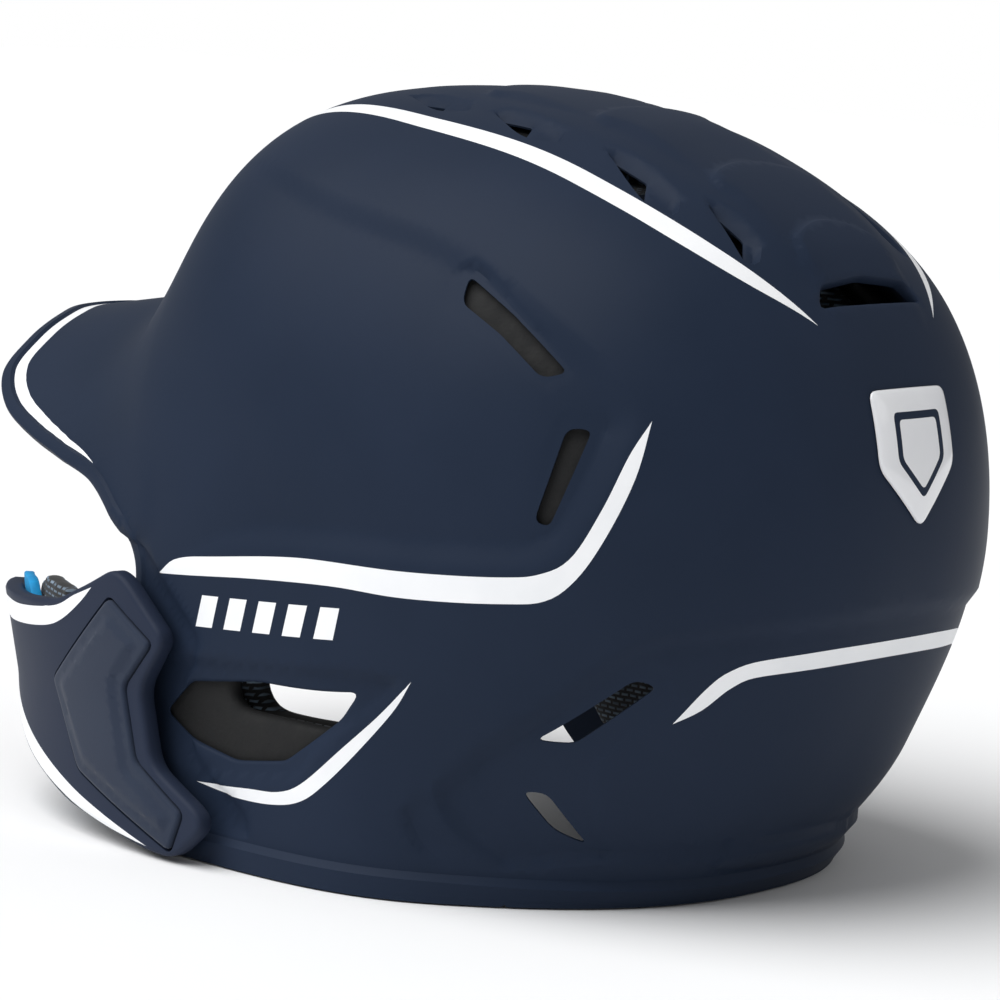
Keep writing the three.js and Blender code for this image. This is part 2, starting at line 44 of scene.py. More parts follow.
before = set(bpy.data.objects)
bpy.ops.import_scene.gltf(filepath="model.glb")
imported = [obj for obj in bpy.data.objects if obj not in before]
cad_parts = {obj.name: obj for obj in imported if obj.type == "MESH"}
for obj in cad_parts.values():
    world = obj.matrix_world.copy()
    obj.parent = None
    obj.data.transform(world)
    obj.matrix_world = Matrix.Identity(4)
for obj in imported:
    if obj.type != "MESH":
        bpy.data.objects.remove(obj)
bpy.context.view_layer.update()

MM = 0.001

# ---- Sizes of the shell, in millimetres, as in the part's source ----
HALF_WIDTH = 103.0
CENTRE_HEIGHT = 98.0
SQUARENESS = 2.4
WALL = 3.0
RIM_HEIGHT = 7.0
RIM_PROUD = 2.0
RIDGE_PROUD = 1.0
BILL_REACH = 168.4
BILL_EDGE_HEIGHT = 34.9
BILL_DROP = 21.0
BILL_SHOULDER = 84.0
BILL_SLOPE = 0.19
FILLET = 14.0
GUARD_GAP = 1.2
GUARD_THICK = 5.4
POCKET_DEPTH = 2.6
COVER_THICK = 3.1
FIT = 0.3
PROFILE = np.array([262, 148, 131.5, 134, 132.5, 117.3, 111.6, 119.7, 112.2, 127, 162, 238.0])
CENTRE = np.array([0.0, 0.0, CENTRE_HEIGHT])


# ---- Surfaces, as distances from the centre of the widest level ----
def unit(v):
    return v / np.linalg.norm(v, axis=-1, keepdims=True)


def smooth(t):
    t = np.clip(t, 0, 1)
    return t * t * (3 - 2 * t)


def spline(a, b, c, d, t):
    """Catmull-Rom curve from b to c."""
    return 0.5 * (2 * b + (c - a) * t + (2 * a - 5 * b + 4 * c - d) * t**2 + (3 * b - a - 3 * c + d) * t**3)


def profile_radius(angle):
    turns = np.mod(angle + 90, 360) / 30
    i = np.floor(turns).astype(int)
    return spline(*(PROFILE[(i + k) % 12] for k in (-1, 0, 1, 2)), turns - i)


def dome_radius(d):
    across = (np.abs(d[:, 0]) / HALF_WIDTH) ** SQUARENESS
    angle = np.degrees(np.arctan2(d[:, 2], d[:, 1]))
    along = (np.hypot(d[:, 1], d[:, 2]) / profile_radius(angle)) ** SQUARENESS
    return (across + along) ** (-1 / SQUARENESS)


def bill_radius(d):
    def under(t):
        across = np.abs(t * d[:, 0])
        drop = BILL_DROP * (across / 60) ** 2.35 + 0.14 * np.maximum(0, across - BILL_SHOULDER) ** 2
        return t * d[:, 2] < BILL_EDGE_HEIGHT - drop + BILL_SLOPE * (t * d[:, 1] + BILL_REACH)

    near = np.zeros(len(d))
    for t in range(4, 245, 4):
        near = np.where(under(float(t)), t, near)
    low, high = near, near + 4
    for _ in range(14):
        middle = (low + high) / 2
        inside = under(middle)
        low, high = np.where(inside, middle, low), np.where(inside, high, middle)
    return np.where(near >= 240, 244, low)


def body_radius(d):
    """Dome, bill and raised crown band, without the lip of the rim."""
    dome = dome_radius(d)
    r = dome.copy()
    front = d[:, 1] < -0.2
    f = d[front]
    away = 2 - smooth((-f[:, 1] - 0.2) / 0.3) - smooth((f[:, 2] + 0.28) / 0.2)
    bill = bill_radius(f) - 40 * away
    h = np.maximum(FILLET - np.abs(dome[front] - bill), 0) / FILLET
    r[front] = np.maximum(dome[front], bill) + h * h * FILLET / 4
    x, y = r * d[:, 0], r * d[:, 1] - 45
    half = 43 * (1 - 0.9 * (y / 100) ** 2)
    band = smooth((half - np.abs(x)) / 11) * smooth((y + 87) / 30) * smooth((67 - y) / 10)
    return r + np.where(d[:, 2] > 0.3, RIDGE_PROUD * band, 0)


def lip(r, d):
    return RIM_PROUD * np.clip((RIM_HEIGHT + 0.8 - r * d[:, 2] - CENTRE_HEIGHT) / 1.6, 0, 1)


def shell_normal(d):
    side = np.stack([-d[:, 1], d[:, 0], np.zeros(len(d))], axis=1)
    side[np.linalg.norm(side, axis=1) < 1e-3] = (1, 0, 0)
    side = unit(side)
    n = d * body_radius(d)[:, None]
    for t in (side, np.cross(d, side)):
        change = body_radius(unit(d + 0.01 * t)) - body_radius(unit(d - 0.01 * t))
        n -= t * (change / 0.02)[:, None]
    return unit(n)


def on_dome(points):
    """Directions from the centre towards points given from the rim's plane."""
    return unit(np.asarray(points, float) - CENTRE)


def on_side(pairs):
    """Directions of dome points given by their distance back and height."""
    y, z = np.asarray(pairs, float).T
    z = z - CENTRE_HEIGHT
    share = np.hypot(y, z) / profile_radius(np.degrees(np.arctan2(z, y)))
    x = HALF_WIDTH * np.clip(1 - share**SQUARENESS, 1e-6, 1) ** (1 / SQUARENESS)
    return unit(np.stack([x, y, z], axis=1))


def on_top(pairs):
    """Directions of dome points given by their distance left and back, seen from above."""
    x, y = np.asarray(pairs, float).T
    room = np.clip(1 - (np.abs(x) / HALF_WIDTH) ** SQUARENESS, 0, 1) ** (1 / SQUARENESS)
    z = np.full(len(x), 100.0)
    for _ in range(12):
        reach = room * profile_radius(np.degrees(np.arctan2(z, y)))
        z = np.sqrt(np.clip(reach**2 - y**2, 1, None))
    return unit(np.stack([x, y, z], axis=1))


def on_back(pairs):
    """Directions of dome points given by their distance left and height, seen from behind."""
    x, z = np.asarray(pairs, float).T
    z = z - CENTRE_HEIGHT
    room = np.clip(1 - (np.abs(x) / HALF_WIDTH) ** SQUARENESS, 0, 1) ** (1 / SQUARENESS)
    y = np.full(len(x), 120.0)
    for _ in range(12):
        reach = room * profile_radius(np.degrees(np.arctan2(z, y)))
        y = np.sqrt(np.clip(reach**2 - z**2, 1, None))
    return unit(np.stack([x, y, z], axis=1))


def mirrored(d):
    return d * np.array([-1, 1, 1])


# ---- The shell's chart: angle and bearing round a pole on the upper back ----
POLE = unit(np.array([0, 0.64, 0.77]))
EAST = np.array([1.0, 0, 0])
NORTH = np.cross(POLE, EAST)


def shell_chart(d):
    e, n = d @ EAST, d @ NORTH
    h = np.maximum(np.hypot(e, n), 1e-9)
    angle = np.arctan2(h, d @ POLE)
    return np.stack([angle * e / h, angle * n / h], axis=1)


def shell_direction(uv):
    angle = np.maximum(np.linalg.norm(uv, axis=1), 1e-9)
    flat = (uv[:, :1] * EAST + uv[:, 1:] * NORTH) / angle[:, None]
    return np.cos(angle)[:, None] * POLE + np.sin(angle)[:, None] * flat


def shell_place(uv):
    d = shell_direction(uv)
    return d * body_radius(d)[:, None] + CENTRE


# ---- Curves and areas ----
def curve(points, spacing):
    """Even points along a smooth curve through the given ones."""
    p = np.asarray(points, float)
    if len(p) == 2:
        fine = p[0] + (p[1] - p[0]) * np.linspace(0, 1, 60)[:, None]
    else:
        p = np.vstack([2 * p[0] - p[1], p, 2 * p[-1] - p[-2]])
        t = np.linspace(0, 1, 24, endpoint=False)[:, None]
        fine = np.vstack([spline(*p[i - 1 : i + 3], t) for i in range(1, len(p) - 2)] + [p[-2][None]])
    along = np.concatenate([[0], np.cumsum(np.linalg.norm(np.diff(fine, axis=0), axis=1))])
    at = np.linspace(0, along[-1], max(2, int(round(along[-1] / spacing)) + 1))
    return np.stack([np.interp(at, along, fine[:, k]) for k in range(p.shape[1])], axis=1)


def closed_line(loop):
    return np.vstack([loop, loop[:1]])


def rounded(outline, reach, steps=5):
    """The outline with its corners turned into arcs of the given reach."""
    p = np.asarray(outline, float)
    result = []
    for before, here, after in zip(np.roll(p, 1, axis=0), p, np.roll(p, -1, axis=0)):
        a, b = before - here, after - here
        la, lb = np.linalg.norm(a), np.linalg.norm(b)
        a = here + a / la * min(reach, 0.45 * la)
        b = here + b / lb * min(reach, 0.45 * lb)
        for t in np.linspace(0, 1, steps):
            result.append((1 - t) ** 2 * a + 2 * t * (1 - t) * here + t * t * b)
    return np.array(result)


def filled_in(loop, spacing):
    """A closed loop with points added so that no edge is longer than the spacing."""
    result = []
    for a, b in zip(loop, np.roll(loop, -1, axis=0)):
        count = max(1, int(math.ceil(np.linalg.norm(b - a) / spacing)))
        result += [a + (b - a) * k / count for k in range(count)]
    return np.array(result)


def inside(points, loop):
    """Which points of the chart lie inside a closed loop."""
    hit = np.zeros(len(points), bool)
    low, high = loop.min(axis=0), loop.max(axis=0)
    pick = np.nonzero(np.all((points >= low) & (points <= high), axis=1))[0]
    x, y = points[pick].T
    odd = np.zeros(len(pick), bool)
    for (ax, ay), (bx, by) in zip(loop, np.roll(loop, -1, axis=0)):
        if ay != by:
            crosses = (ay > y) != (by > y)
            odd ^= crosses & (x < ax + (y - ay) * (bx - ax) / (by - ay))
    hit[pick] = odd
    return hit


def distance(points, line, reach):
    """Distance from the line of each point, or the reach where that is less."""
    result = np.full(len(points), float(reach))
    low, high = line.min(axis=0) - reach, line.max(axis=0) + reach
    pick = np.nonzero(np.all((points > low) & (points < high), axis=1))[0]
    a, ab = line[:-1], np.diff(line, axis=0)
    size = np.maximum((ab**2).sum(axis=1), 1e-12)
    for start in range(0, len(pick), 3000):
        some = pick[start : start + 3000]
        ap = points[some][:, None] - a
        t = np.clip((ap * ab).sum(axis=2) / size, 0, 1)
        gap = np.sqrt(((ap - t[..., None] * ab) ** 2).sum(axis=2)).min(axis=1)
        result[some] = np.minimum(gap, reach)
    return result


def sideways(line, place, amount):
    """A chart line moved sideways over the surface by millimetres, to its left where positive."""
    steps = 1e-4
    tangent = unit(np.gradient(line, axis=0))
    scale_points = [place(line + steps * np.array(a)) - place(line) for a in ((1, 0), (0, 1))]
    along = scale_points[0] * tangent[:, :1] + scale_points[1] * tangent[:, 1:]
    normal = unit(np.cross(scale_points[0], scale_points[1]))
    side = np.cross(normal, unit(along))
    u, v = (s / steps for s in scale_points)
    uu, uv, vv = (u * u).sum(1), (u * v).sum(1), (v * v).sum(1)
    su, sv = (side * u).sum(1), (side * v).sum(1)
    det = uu * vv - uv * uv
    return line + amount * np.stack([(su * vv - sv * uv) / det, (sv * uu - su * uv) / det], axis=1)


class Area:
    """A step in a surface: a closed area of the chart, with the width over which each edge rises."""

    def __init__(self, height, *edges):
        self.height = height
        self.edges = edges
        self.loop = np.vstack([line for _, line in edges])

    def lines(self, place):
        result = []
        for width, line in self.edges:
            result.append(line)
            if width < 12:
                moved = sideways(line, place, width)
                if inside(moved, self.loop).mean() < 0.5:
                    moved = sideways(line, place, -width)
                result.append(moved)
        return result

    def lift(self, uv, points, place):
        share = inside(uv, self.loop).astype(float)
        for width, line in self.edges:
            rise = distance(points, place(line), width) / width
            share = np.minimum(share, rise if width < 3 else 0.5 * (rise + smooth(rise)))
        return self.height * share


class Skin:
    """A surface's chart cut into triangles along its outline, holes, steps and painted areas."""

    def __init__(self, place, outline, grid, holes=(), areas=(), painted=(), lines=(), clear=1.0):
        self.place = place
        self.outline = outline
        self.holes = holes
        self.areas = areas
        vertices, edges = [], []

        def add(line, closed):
            first = len(vertices)
            vertices.extend(line)
            last = len(line) if closed else len(line) - 1
            edges.extend((first + i, first + (i + 1) % len(line)) for i in range(last))

        add(outline, True)
        for loop in (*holes, *painted):
            add(loop, True)
        for line in (*lines, *(line for area in areas for line in area.lines(place))):
            add(line, False)
        fixed = place(np.array(vertices))
        tree = kdtree.KDTree(len(fixed))
        for i, p in enumerate(fixed):
            tree.insert(p, i)
        tree.balance()
        grid = grid[inside(grid, outline)]
        free = [q for q, p in zip(grid, place(grid)) if tree.find(p)[2] > clear]
        made = delaunay_2d_cdt([Vector(v) for v in (*vertices, *free)], edges, [], 0, 1e-7)
        self.uv = np.array([tuple(v) for v in made[0]])
        triangles = np.array(made[2])
        middle = self.uv[triangles].mean(axis=1)
        kept = inside(middle, outline)
        for hole in holes:
            kept &= ~inside(middle, hole)
        a, b, c = (self.uv[triangles[:, k]] for k in range(3))
        size = np.abs((b - a)[:, 0] * (c - a)[:, 1] - (b - a)[:, 1] * (c - a)[:, 0])
        kept &= size > 1e-14
        self.triangles = triangles[kept]
        middle = middle[kept]
        self.slots = np.zeros(len(middle), int)
        for loop in painted:
            self.slots[inside(middle, loop)] = 1
        used = np.unique(self.triangles)
        renumber = np.full(len(self.uv), -1)
        renumber[used] = np.arange(len(used))
        self.uv = self.uv[used]
        self.triangles = renumber[self.triangles]
        self.points = place(self.uv)

    def lift(self):
        lifts = (area.lift(self.uv, self.points, self.place) for area in self.areas)
        return sum(lifts, np.zeros(len(self.uv)))

    def edge_gap(self, reach, outline=True, holes=True):
        """Distance to the nearest rim of the skin, up to the reach."""
        gap = np.full(len(self.uv), float(reach))
        loops = ([self.outline] if outline else []) + (list(self.holes) if holes else [])
        for loop in loops:
            gap = np.minimum(gap, distance(self.points, self.place(closed_line(loop)), reach))
        return gap


def rounding(gap, radius):
    """How far a rounded edge falls below the face at a distance from the edge."""
    t = np.clip(1 - gap / radius, 0, 1)
    return radius * (1 - np.sqrt(1 - t * t))


def new_object(name, vertices, faces, materials, slots=None, angle=35.0):
    """A finished mesh object in metres, smooth except where faces meet at more than the angle."""
    mesh = bpy.data.meshes.new(name)
    mesh.from_pydata((np.asarray(vertices) * MM).tolist(), [], faces)
    for material in materials:
        mesh.materials.append(material)
    if slots is not None:
        mesh.polygons.foreach_set("material_index", np.asarray(slots, dtype=np.int32))
    mesh.update()
    merged = bmesh.new()
    merged.from_mesh(mesh)
    bmesh.ops.remove_doubles(merged, verts=merged.verts, dist=MERGE_DISTANCE * MM)
    merged.to_mesh(mesh)
    merged.free()
    made = bpy.data.objects.new(name, mesh)
    bpy.context.scene.collection.objects.link(made)
    finish_smooth(made, angle)
    return made


def finish_smooth(made, angle):
    bpy.ops.object.select_all(action="DESELECT")
    made.select_set(True)
    bpy.context.view_layer.objects.active = made
    bpy.ops.object.shade_smooth_by_angle(angle=math.radians(angle))


def closed_skin(name, skin, outer, inner, materials, angle=35.0):
    """A closed wall between the outer and the inner face of a skin."""
    n = len(outer)
    t = skin.triangles
    a, b, c = (outer[t[:, k]] for k in range(3))
    outward = np.cross(b - a, c - a)
    if (outward * (a - inner[t[:, 0]])).sum() < 0:
        t = t[:, ::-1]
    sides = np.vstack([t[:, [0, 1]], t[:, [1, 2]], t[:, [2, 0]]])
    keys = {(int(p), int(q)) for p, q in sides}
    rim = [(p, q) for p, q in keys if (q, p) not in keys]
    rim.sort()
    faces = t.tolist() + (t[:, ::-1] + n).tolist() + [(q, p, p + n, q + n) for p, q in rim]
    slots = np.concatenate([skin.slots, np.zeros(len(t) + len(rim), int)])
    return new_object(name, np.vstack([outer, inner]), faces, materials, slots, angle)


# ---- Materials ----
def linear(hex_colour):
    """A linear colour from an sRGB hex value."""
    values = [int(hex_colour[i : i + 2], 16) / 255 for i in (0, 2, 4)]
    return (*(v / 12.92 if v <= 0.04045 else ((v + 0.055) / 1.055) ** 2.4 for v in values), 1)


def add_node(tree, kind, links=(), values=(), **settings):
    """Adds a node, sets its properties and input values, and links outputs into its inputs."""
    made = tree.nodes.new(kind)
    for key, value in settings.items():
        setattr(made, key, value)
    for key, value in values:
        made.inputs[key].default_value = value
    for key, output in links:
        tree.links.new(output, made.inputs[key])
    return made


def new_material(name, sockets):
    made = bpy.data.materials.new(name)
    made.use_nodes = True
    tree = made.node_tree
    shader = tree.nodes["Principled BSDF"]
    for key, value in sockets.items():
        shader.inputs[key].default_value = value
    place = add_node(tree, "ShaderNodeTexCoord")
    return made, tree, shader, place.outputs["Object"]


def grained(tree, shader, place, grain_mm, depth_mm):
    """Fine moulded grain of the given size, as bump."""
    scale = [("Scale", 1000 / grain_mm), ("Detail", 3.0)]
    noise = add_node(tree, "ShaderNodeTexNoise", [("Vector", place)], scale)
    depth = [("Strength", 1.0), ("Distance", depth_mm * MM)]
    bump = add_node(tree, "ShaderNodeBump", [("Height", noise.outputs["Fac"])], depth)
    tree.links.new(bump.outputs["Normal"], shader.inputs["Normal"])


def mottled(tree, shader, place, dark, light, size_mm, rough):
    """Colour and roughness that wander a little over the surface."""
    scale = [("Scale", 1000 / size_mm), ("Detail", 4.0)]
    noise = add_node(tree, "ShaderNodeTexNoise", [("Vector", place)], scale)
    ramp = add_node(tree, "ShaderNodeValToRGB", [("Fac", noise.outputs["Fac"])])
    ramp.color_ramp.elements[0].position = 0.3
    ramp.color_ramp.elements[0].color = linear(dark)
    ramp.color_ramp.elements[1].position = 0.7
    ramp.color_ramp.elements[1].color = linear(light)
    tree.links.new(ramp.outputs["Color"], shader.inputs["Base Color"])
    limits = [("From Min", 0.3), ("From Max", 0.7), ("To Min", rough[0]), ("To Max", rough[1])]
    spread = add_node(tree, "ShaderNodeMapRange", [("Value", noise.outputs["Fac"])], limits)
    tree.links.new(spread.outputs["Result"], shader.inputs["Roughness"])


# name, colours and millimetres over which they wander, roughness, grain size and depth, other sockets
SURFACES = {
    # ABS under sprayed soft-touch paint: matt and even, with a fine spray texture
    "paint": (
        "Matt Spray Paint On ABS",
        ("1f293a", "232d3f", 60, (0.45, 0.52)),
        (0.55, 0.012),
        {"IOR": 1.46, "Specular IOR Level": 0.08},
    ),
    # pad-printed white ink: opaque, a little smoother than the paint under it
    "ink": ("Pad Printed White Ink", ("eef0f3", "f7f8fa", 25, (0.4, 0.48)), (0.8, 0.008), {"IOR": 1.48}),
    # injection moulded nylon with a spark-eroded matt grain
    "nylon": (
        "Moulded Matt Nylon",
        ("232b3d", "272f41", 40, (0.5, 0.6)),
        (0.45, 0.02),
        {"IOR": 1.53, "Specular IOR Level": 0.12},
    ),
    # compression moulded rubber: soft, slightly dusty matt with sparse specks
    "rubber": (
        "Moulded Soft Rubber",
        ("252e40", "2a3344", 18, (0.62, 0.74)),
        (0.7, 0.03),
        {"IOR": 1.5, "Sheen Weight": 0.12, "Sheen Roughness": 0.5, "Specular IOR Level": 0.12},
    ),
    # die-cut closed-cell foam, blue: fine open bubbles on the cut faces
    "blue": ("Cut Closed Cell Foam Blue", ("0688c4", "0d9bd8", 3, (0.75, 0.85)), (0.9, 0.12), {}),
    # heat moulded EVA foam, black: a skin with shallow pores
    "foam": ("Moulded EVA Foam", ("0b0c0d", "131416", 4, (0.8, 0.92)), (1.1, 0.15), {}),
    # zinc plated steel: faintly cloudy, half bright
    "steel": ("Zinc Plated Steel", ("a4a6aa", "b8babd", 3, (0.26, 0.4)), (0.3, 0.01), {"Metallic": 1.0}),
    # poured polyurethane dome over white film: deep gloss, with no grain
    "dome": (
        "Poured Urethane Dome",
        ("e9eaee", "eff0f3", 20, (0.08, 0.12)),
        None,
        {"IOR": 1.5, "Coat Weight": 0.6, "Coat Roughness": 0.03},
    ),
}


def make_materials():
    made = {}
    for key, (name, mottle, grain, sockets) in SURFACES.items():
        material, tree, shader, place = new_material(name, sockets)
        mottled(tree, shader, place, *mottle)
        if grain:
            grained(tree, shader, place, *grain)
        made[key] = material
    made["knit"] = knit_material()
    return made


def knit_material():
    """Warp-knitted polyester mesh: black ground, with short bright stitches in staggered rows."""
    sockets = {"Sheen Weight": 0.15, "Sheen Roughness": 0.6, "Roughness": 0.85}
    material, tree, shader, place = new_material("Knitted Polyester Mesh", sockets)
    cloth = add_node(tree, "ShaderNodeUVMap", uv_map="weave")
    scale = [("Scale", 160.0), ("Detail", 1.0)]
    wander = add_node(tree, "ShaderNodeTexNoise", [("Vector", place)], scale)
    kind = "ShaderNodeVectorMath"
    share = [(1, (0.45, 0.45, 0))]
    shift = add_node(tree, kind, [(0, wander.outputs["Color"])], share, operation="MULTIPLY")
    terms = [(0, cloth.outputs["UV"]), (1, shift.outputs["Vector"])]
    bent = add_node(tree, kind, terms, operation="ADD")
    # stitches 1.7 mm long in rows 1.6 mm apart, in a map that counts millimetres
    stitch = add_node(
        tree,
        "ShaderNodeTexBrick",
        [("Vector", bent.outputs["Vector"])],
        [
            ("Color1", linear("7f93a6")),
            ("Color2", linear("4a5a69")),
            ("Mortar", linear("0b0c0e")),
            ("Scale", 1.0),
            ("Mortar Size", 0.6),
            ("Mortar Smooth", 0.45),
            ("Brick Width", 3.2),
            ("Row Height", 1.6),
        ],
        offset=0.5,
    )
    tree.links.new(stitch.outputs["Color"], shader.inputs["Base Color"])
    depth = [("Strength", 1.0), ("Distance", 0.35 * MM)]
    bump = add_node(tree, "ShaderNodeBump", [("Height", stitch.outputs["Fac"])], depth, invert=True)
    tree.links.new(bump.outputs["Normal"], shader.inputs["Normal"])
    return material


MATERIALS = {}


# ---- Shell ----
# left half of the bill's edge, from its middle back to the ear flap; heights from the dome's centre
BILL_EDGE = [
    *((0, -168.4, 34.9), (15, -167.4, 34.8), (30, -163.8, 33.4), (45, -157.4, 27.2), (58, -148.4, 17.8)),
    *((69, -135, 10.3), (77, -119.5, 5.5), (83.5, -100.5, 1.4), (88.5, -79.5, -2.6), (93, -66.5, -10)),
    *((97, -57.5, -19.5), (99, -57.2, -31), (100, -63, -45), (100.5, -66, -60), (100.5, -64, -76)),
    *((99.5, -57, -88), (98.5, -48, -95.5)),
]
RIM_START = 64.0  # bearing from the front where the flat rim begins
BILL_STRIPE_INSET = 4.6
BILL_STRIPE_WIDTH = 5.2
SCREW_HOLE_R = 3.6
DEEPEST_STEP = 2.4  # leaves 0.6 mm of the wall
MERGE_DISTANCE = 0.16  # corners closer than this become one
EAR_HOLE = [(-42, 38), (-32, 48), (-7, 52), (27, 54), (22, 46), (4, 32), (-14, 29), (-31, 32)]
SIDE_SLOTS = [
    [(43, 167), (44, 160), (58, 153), (72, 143), (78, 145), (60, 158)],
    [(81, 131), (87, 131), (80, 105), (76, 106)],
    [(75, 47), (99, 66), (103, 64), (84, 47)],
    [(69, 32), (75, 32), (80, 17), (74, 21)],
]
CROWN_SCOOPS = [
    [(31, -22), (38, -8), (31, -11)],
    [(36, 12), (43, 27), (36, 24)],
    [(37, 52), (44, 70), (37, 65)],
    [(32, 82), (37, 99), (31, 94)],
]
REAR_SLOT = [(-23, 163), (23, 163), (19, 168), (0, 170), (-19, 168)]
SCREW_POINTS = [(-41.5, 16), (-52.5, 52)]
STEP = 1.8  # spacing of points along edges


def azimuth_direction(azimuth, elevation):
    a, e = np.radians(azimuth), np.radians(elevation)
    return np.stack([np.sin(a) * np.cos(e), -np.cos(a) * np.cos(e), np.sin(e)], axis=-1)


def rim_directions(azimuths, height=0.0):
    low, high = np.full(len(azimuths), -80.0), np.full(len(azimuths), -5.0)
    for _ in range(24):
        middle = (low + high) / 2
        d = azimuth_direction(azimuths, middle)
        r = body_radius(d)
        proud = lip(r, d) if height == 0 else 0
        under = (r + proud) * d[:, 2] < height - CENTRE_HEIGHT
        low, high = np.where(under, middle, low), np.where(under, high, middle)
    return azimuth_direction(azimuths, high)


def bill_curve():
    return curve(BILL_EDGE, STEP)


def shell_outline():
    """The closed boundary as directions, and which of its points lie on the flat rim."""
    bill = unit(bill_curve()[:-1])
    rim = rim_directions(np.linspace(RIM_START, 180, 140))
    half = np.vstack([bill, rim])
    flat = np.concatenate([np.zeros(len(bill), bool), np.ones(len(rim), bool)])
    other = mirrored(half[1:-1][::-1])
    return np.vstack([half, other]), np.concatenate([flat, flat[1:-1][::-1]])


def line(directions):
    """A chart line through directions, evenly filled."""
    path = curve(np.asarray(directions) * 110, STEP)
    return shell_chart(unit(path))


def loop_of(directions):
    path = filled_in(np.asarray(directions) * 110, STEP)
    return shell_chart(unit(path))


def ribbon(first, second):
    """A closed chart loop between two edges that start and end together."""
    a, b = line(first), line(second)[::-1]
    return np.vstack([a, b[1:-1]])


MAIN_UPPER = [
    *((-45, 76), (-38, 81), (-22, 84), (8, 88), (41, 89), (69, 91), (79, 93), (86, 98), (92, 111)),
    *((96, 125), (99, 134)),
]
MAIN_LOWER = [
    *((-45, 76), (-9, 80), (19, 82), (41, 82), (69, 84), (80, 86), (87, 92), (93, 103), (98, 119)),
    (99, 134),
]
EAR_UPPER = [(-28, 21), (-8, 22.8), (3, 23.8), (11, 27.4), (23, 38.5), (34, 49.4), (44, 60)]
EAR_LOWER = [(-28, 21), (-13, 19.6), (1, 20), (10.5, 22.4), (18, 28), (29, 40), (38.5, 51.5), (44, 60)]
REAR_UPPER = [(62, 54), (58, 64), (54, 69), (46, 72), (25, 74), (0, 74.5)]
REAR_LOWER = [(62, 54), (57, 58), (52, 64.5), (45, 67.5), (23, 69.2), (0, 69.7)]
CROWN_OUTER = [
    *((33, -72), (41, -52), (48, -20), (52.5, 10), (53.6, 40), (52, 70), (48.5, 88), (41, 103)),
    (27, 116),
]
CROWN_INNER = [
    *((33, -72), (36, -52), (42.2, -20), (46.5, 10), (47.6, 40), (46.2, 70), (43, 88), (37, 102.5)),
    (27, 116),
]
BAR = [(0, 0), (6.2, 0.5), (8.2, 9.3), (2.0, 8.8)]
def same(d):
    return d


def mirror_row(row):
    """A row that ends on the middle plane, carried on to the other side."""
    return [*row, *((-p[0], *p[1:]) for p in row[-2::-1])]


def painted_loops():
    loops = []
    for flip in (same, mirrored):
        loops.append(ribbon(flip(on_side(MAIN_UPPER)), flip(on_side(MAIN_LOWER))))
        loops.append(ribbon(flip(on_side(EAR_UPPER)), flip(on_side(EAR_LOWER))))
        loops.append(ribbon(flip(on_top(CROWN_OUTER)), flip(on_top(CROWN_INNER))))
        for k in range(5):
            y, z = -28.5 + 10.6 * k, 64 + 0.8 * k
            loops.append(loop_of(flip(on_side([(y + right, z + up) for right, up in BAR]))))
    loops.append(ribbon(on_back(mirror_row(REAR_UPPER)), on_back(mirror_row(REAR_LOWER))))
    loops.append(bill_stripe())
    return loops


def bill_stripe():
    """A stripe inside the bill's edge, widest in front and tapering to a tip on each side."""
    half = bill_curve()
    half = half[half[:, 1] < -82]
    whole = shell_chart(unit(np.vstack([half[::-1], mirrored(half[1:])])))
    reach = np.linspace(-1, 1, len(whole))
    width = BILL_STRIPE_WIDTH * np.clip(1 - np.abs(reach) ** 2.2, 0, 1) ** 0.8
    probe = sideways(whole, shell_place, 5.0)
    # the chart's pole is inside the outline, so the line moved inwards is nearer to it
    sign = 1 if np.linalg.norm(probe, axis=1).mean() < np.linalg.norm(whole, axis=1).mean() else -1
    outer = sideways(whole, shell_place, sign * BILL_STRIPE_INSET)
    inner = sideways(whole, shell_place, sign * (BILL_STRIPE_INSET + width)[:, None])
    return np.vstack([outer, inner[-2:0:-1]])


# steps on each side: height, then each edge's width and its line, given by distance back and height
PANEL_STEPS = [
    # the side panel sinks in from its crease and from the main stripe
    (
        -2.3,
        (
            8.0,
            [
                *((-60, 186), (-8, 183), (31, 176), (46, 171), (67, 161), (84, 150), (92, 142)),
                *((96, 136), (97, 131)),
            ],
        ),
        (
            8.0,
            [
                *((97, 131), (92, 112), (85, 98.6), (78, 93.6), (69, 91.6), (41, 89.6), (8, 88.6)),
                *((-22, 84.6), (-45, 76)),
            ],
        ),
        (45, [(-45, 76), (-62, 110), (-70, 150), (-60, 186)]),
    ),
    # the hollow round the ear hole
    (
        -1.7,
        (3.0, [(-60, 54), (-29, 56), (18, 60), (44, 61)]),
        (3.4, [(44, 61), (34, 51), (18, 38), (11, 29), (3, 26), (-28, 22)]),
        (9, [(-28, 22), (-50, 30), (-60, 54)]),
    ),
    # a terrace that steps down towards the rear pocket
    (
        -1.3,
        (2.2, [(50, 9), (43, 13), (39, 22), (41, 27)]),
        (6, [(41, 27), (47, 31)]),
        (9, [(47, 31), (52, 20), (66, 9)]),
        (12.5, [(66, 9), (50, 9)]),
    ),
]
# the terrace behind it, by points in space
REAR_TERRACE = (
    -2.1,
    (3.0, [(87, 58, 41), (85, 57, 33), (79, 63, 23), (68, 69, 12)]),
    (12.5, [(68, 69, 12), (58, 79, 14)]),
    (12.5, [(58, 79, 14), (60, 81, 20)]),
    (3.0, [(60, 81, 20), (68, 85, 35), (71, 88, 45), (66, 103, 62), (66, 107, 68)]),
    (6, [(66, 107, 68), (73, 100, 70), (80, 80, 56), (87, 58, 41)]),
)
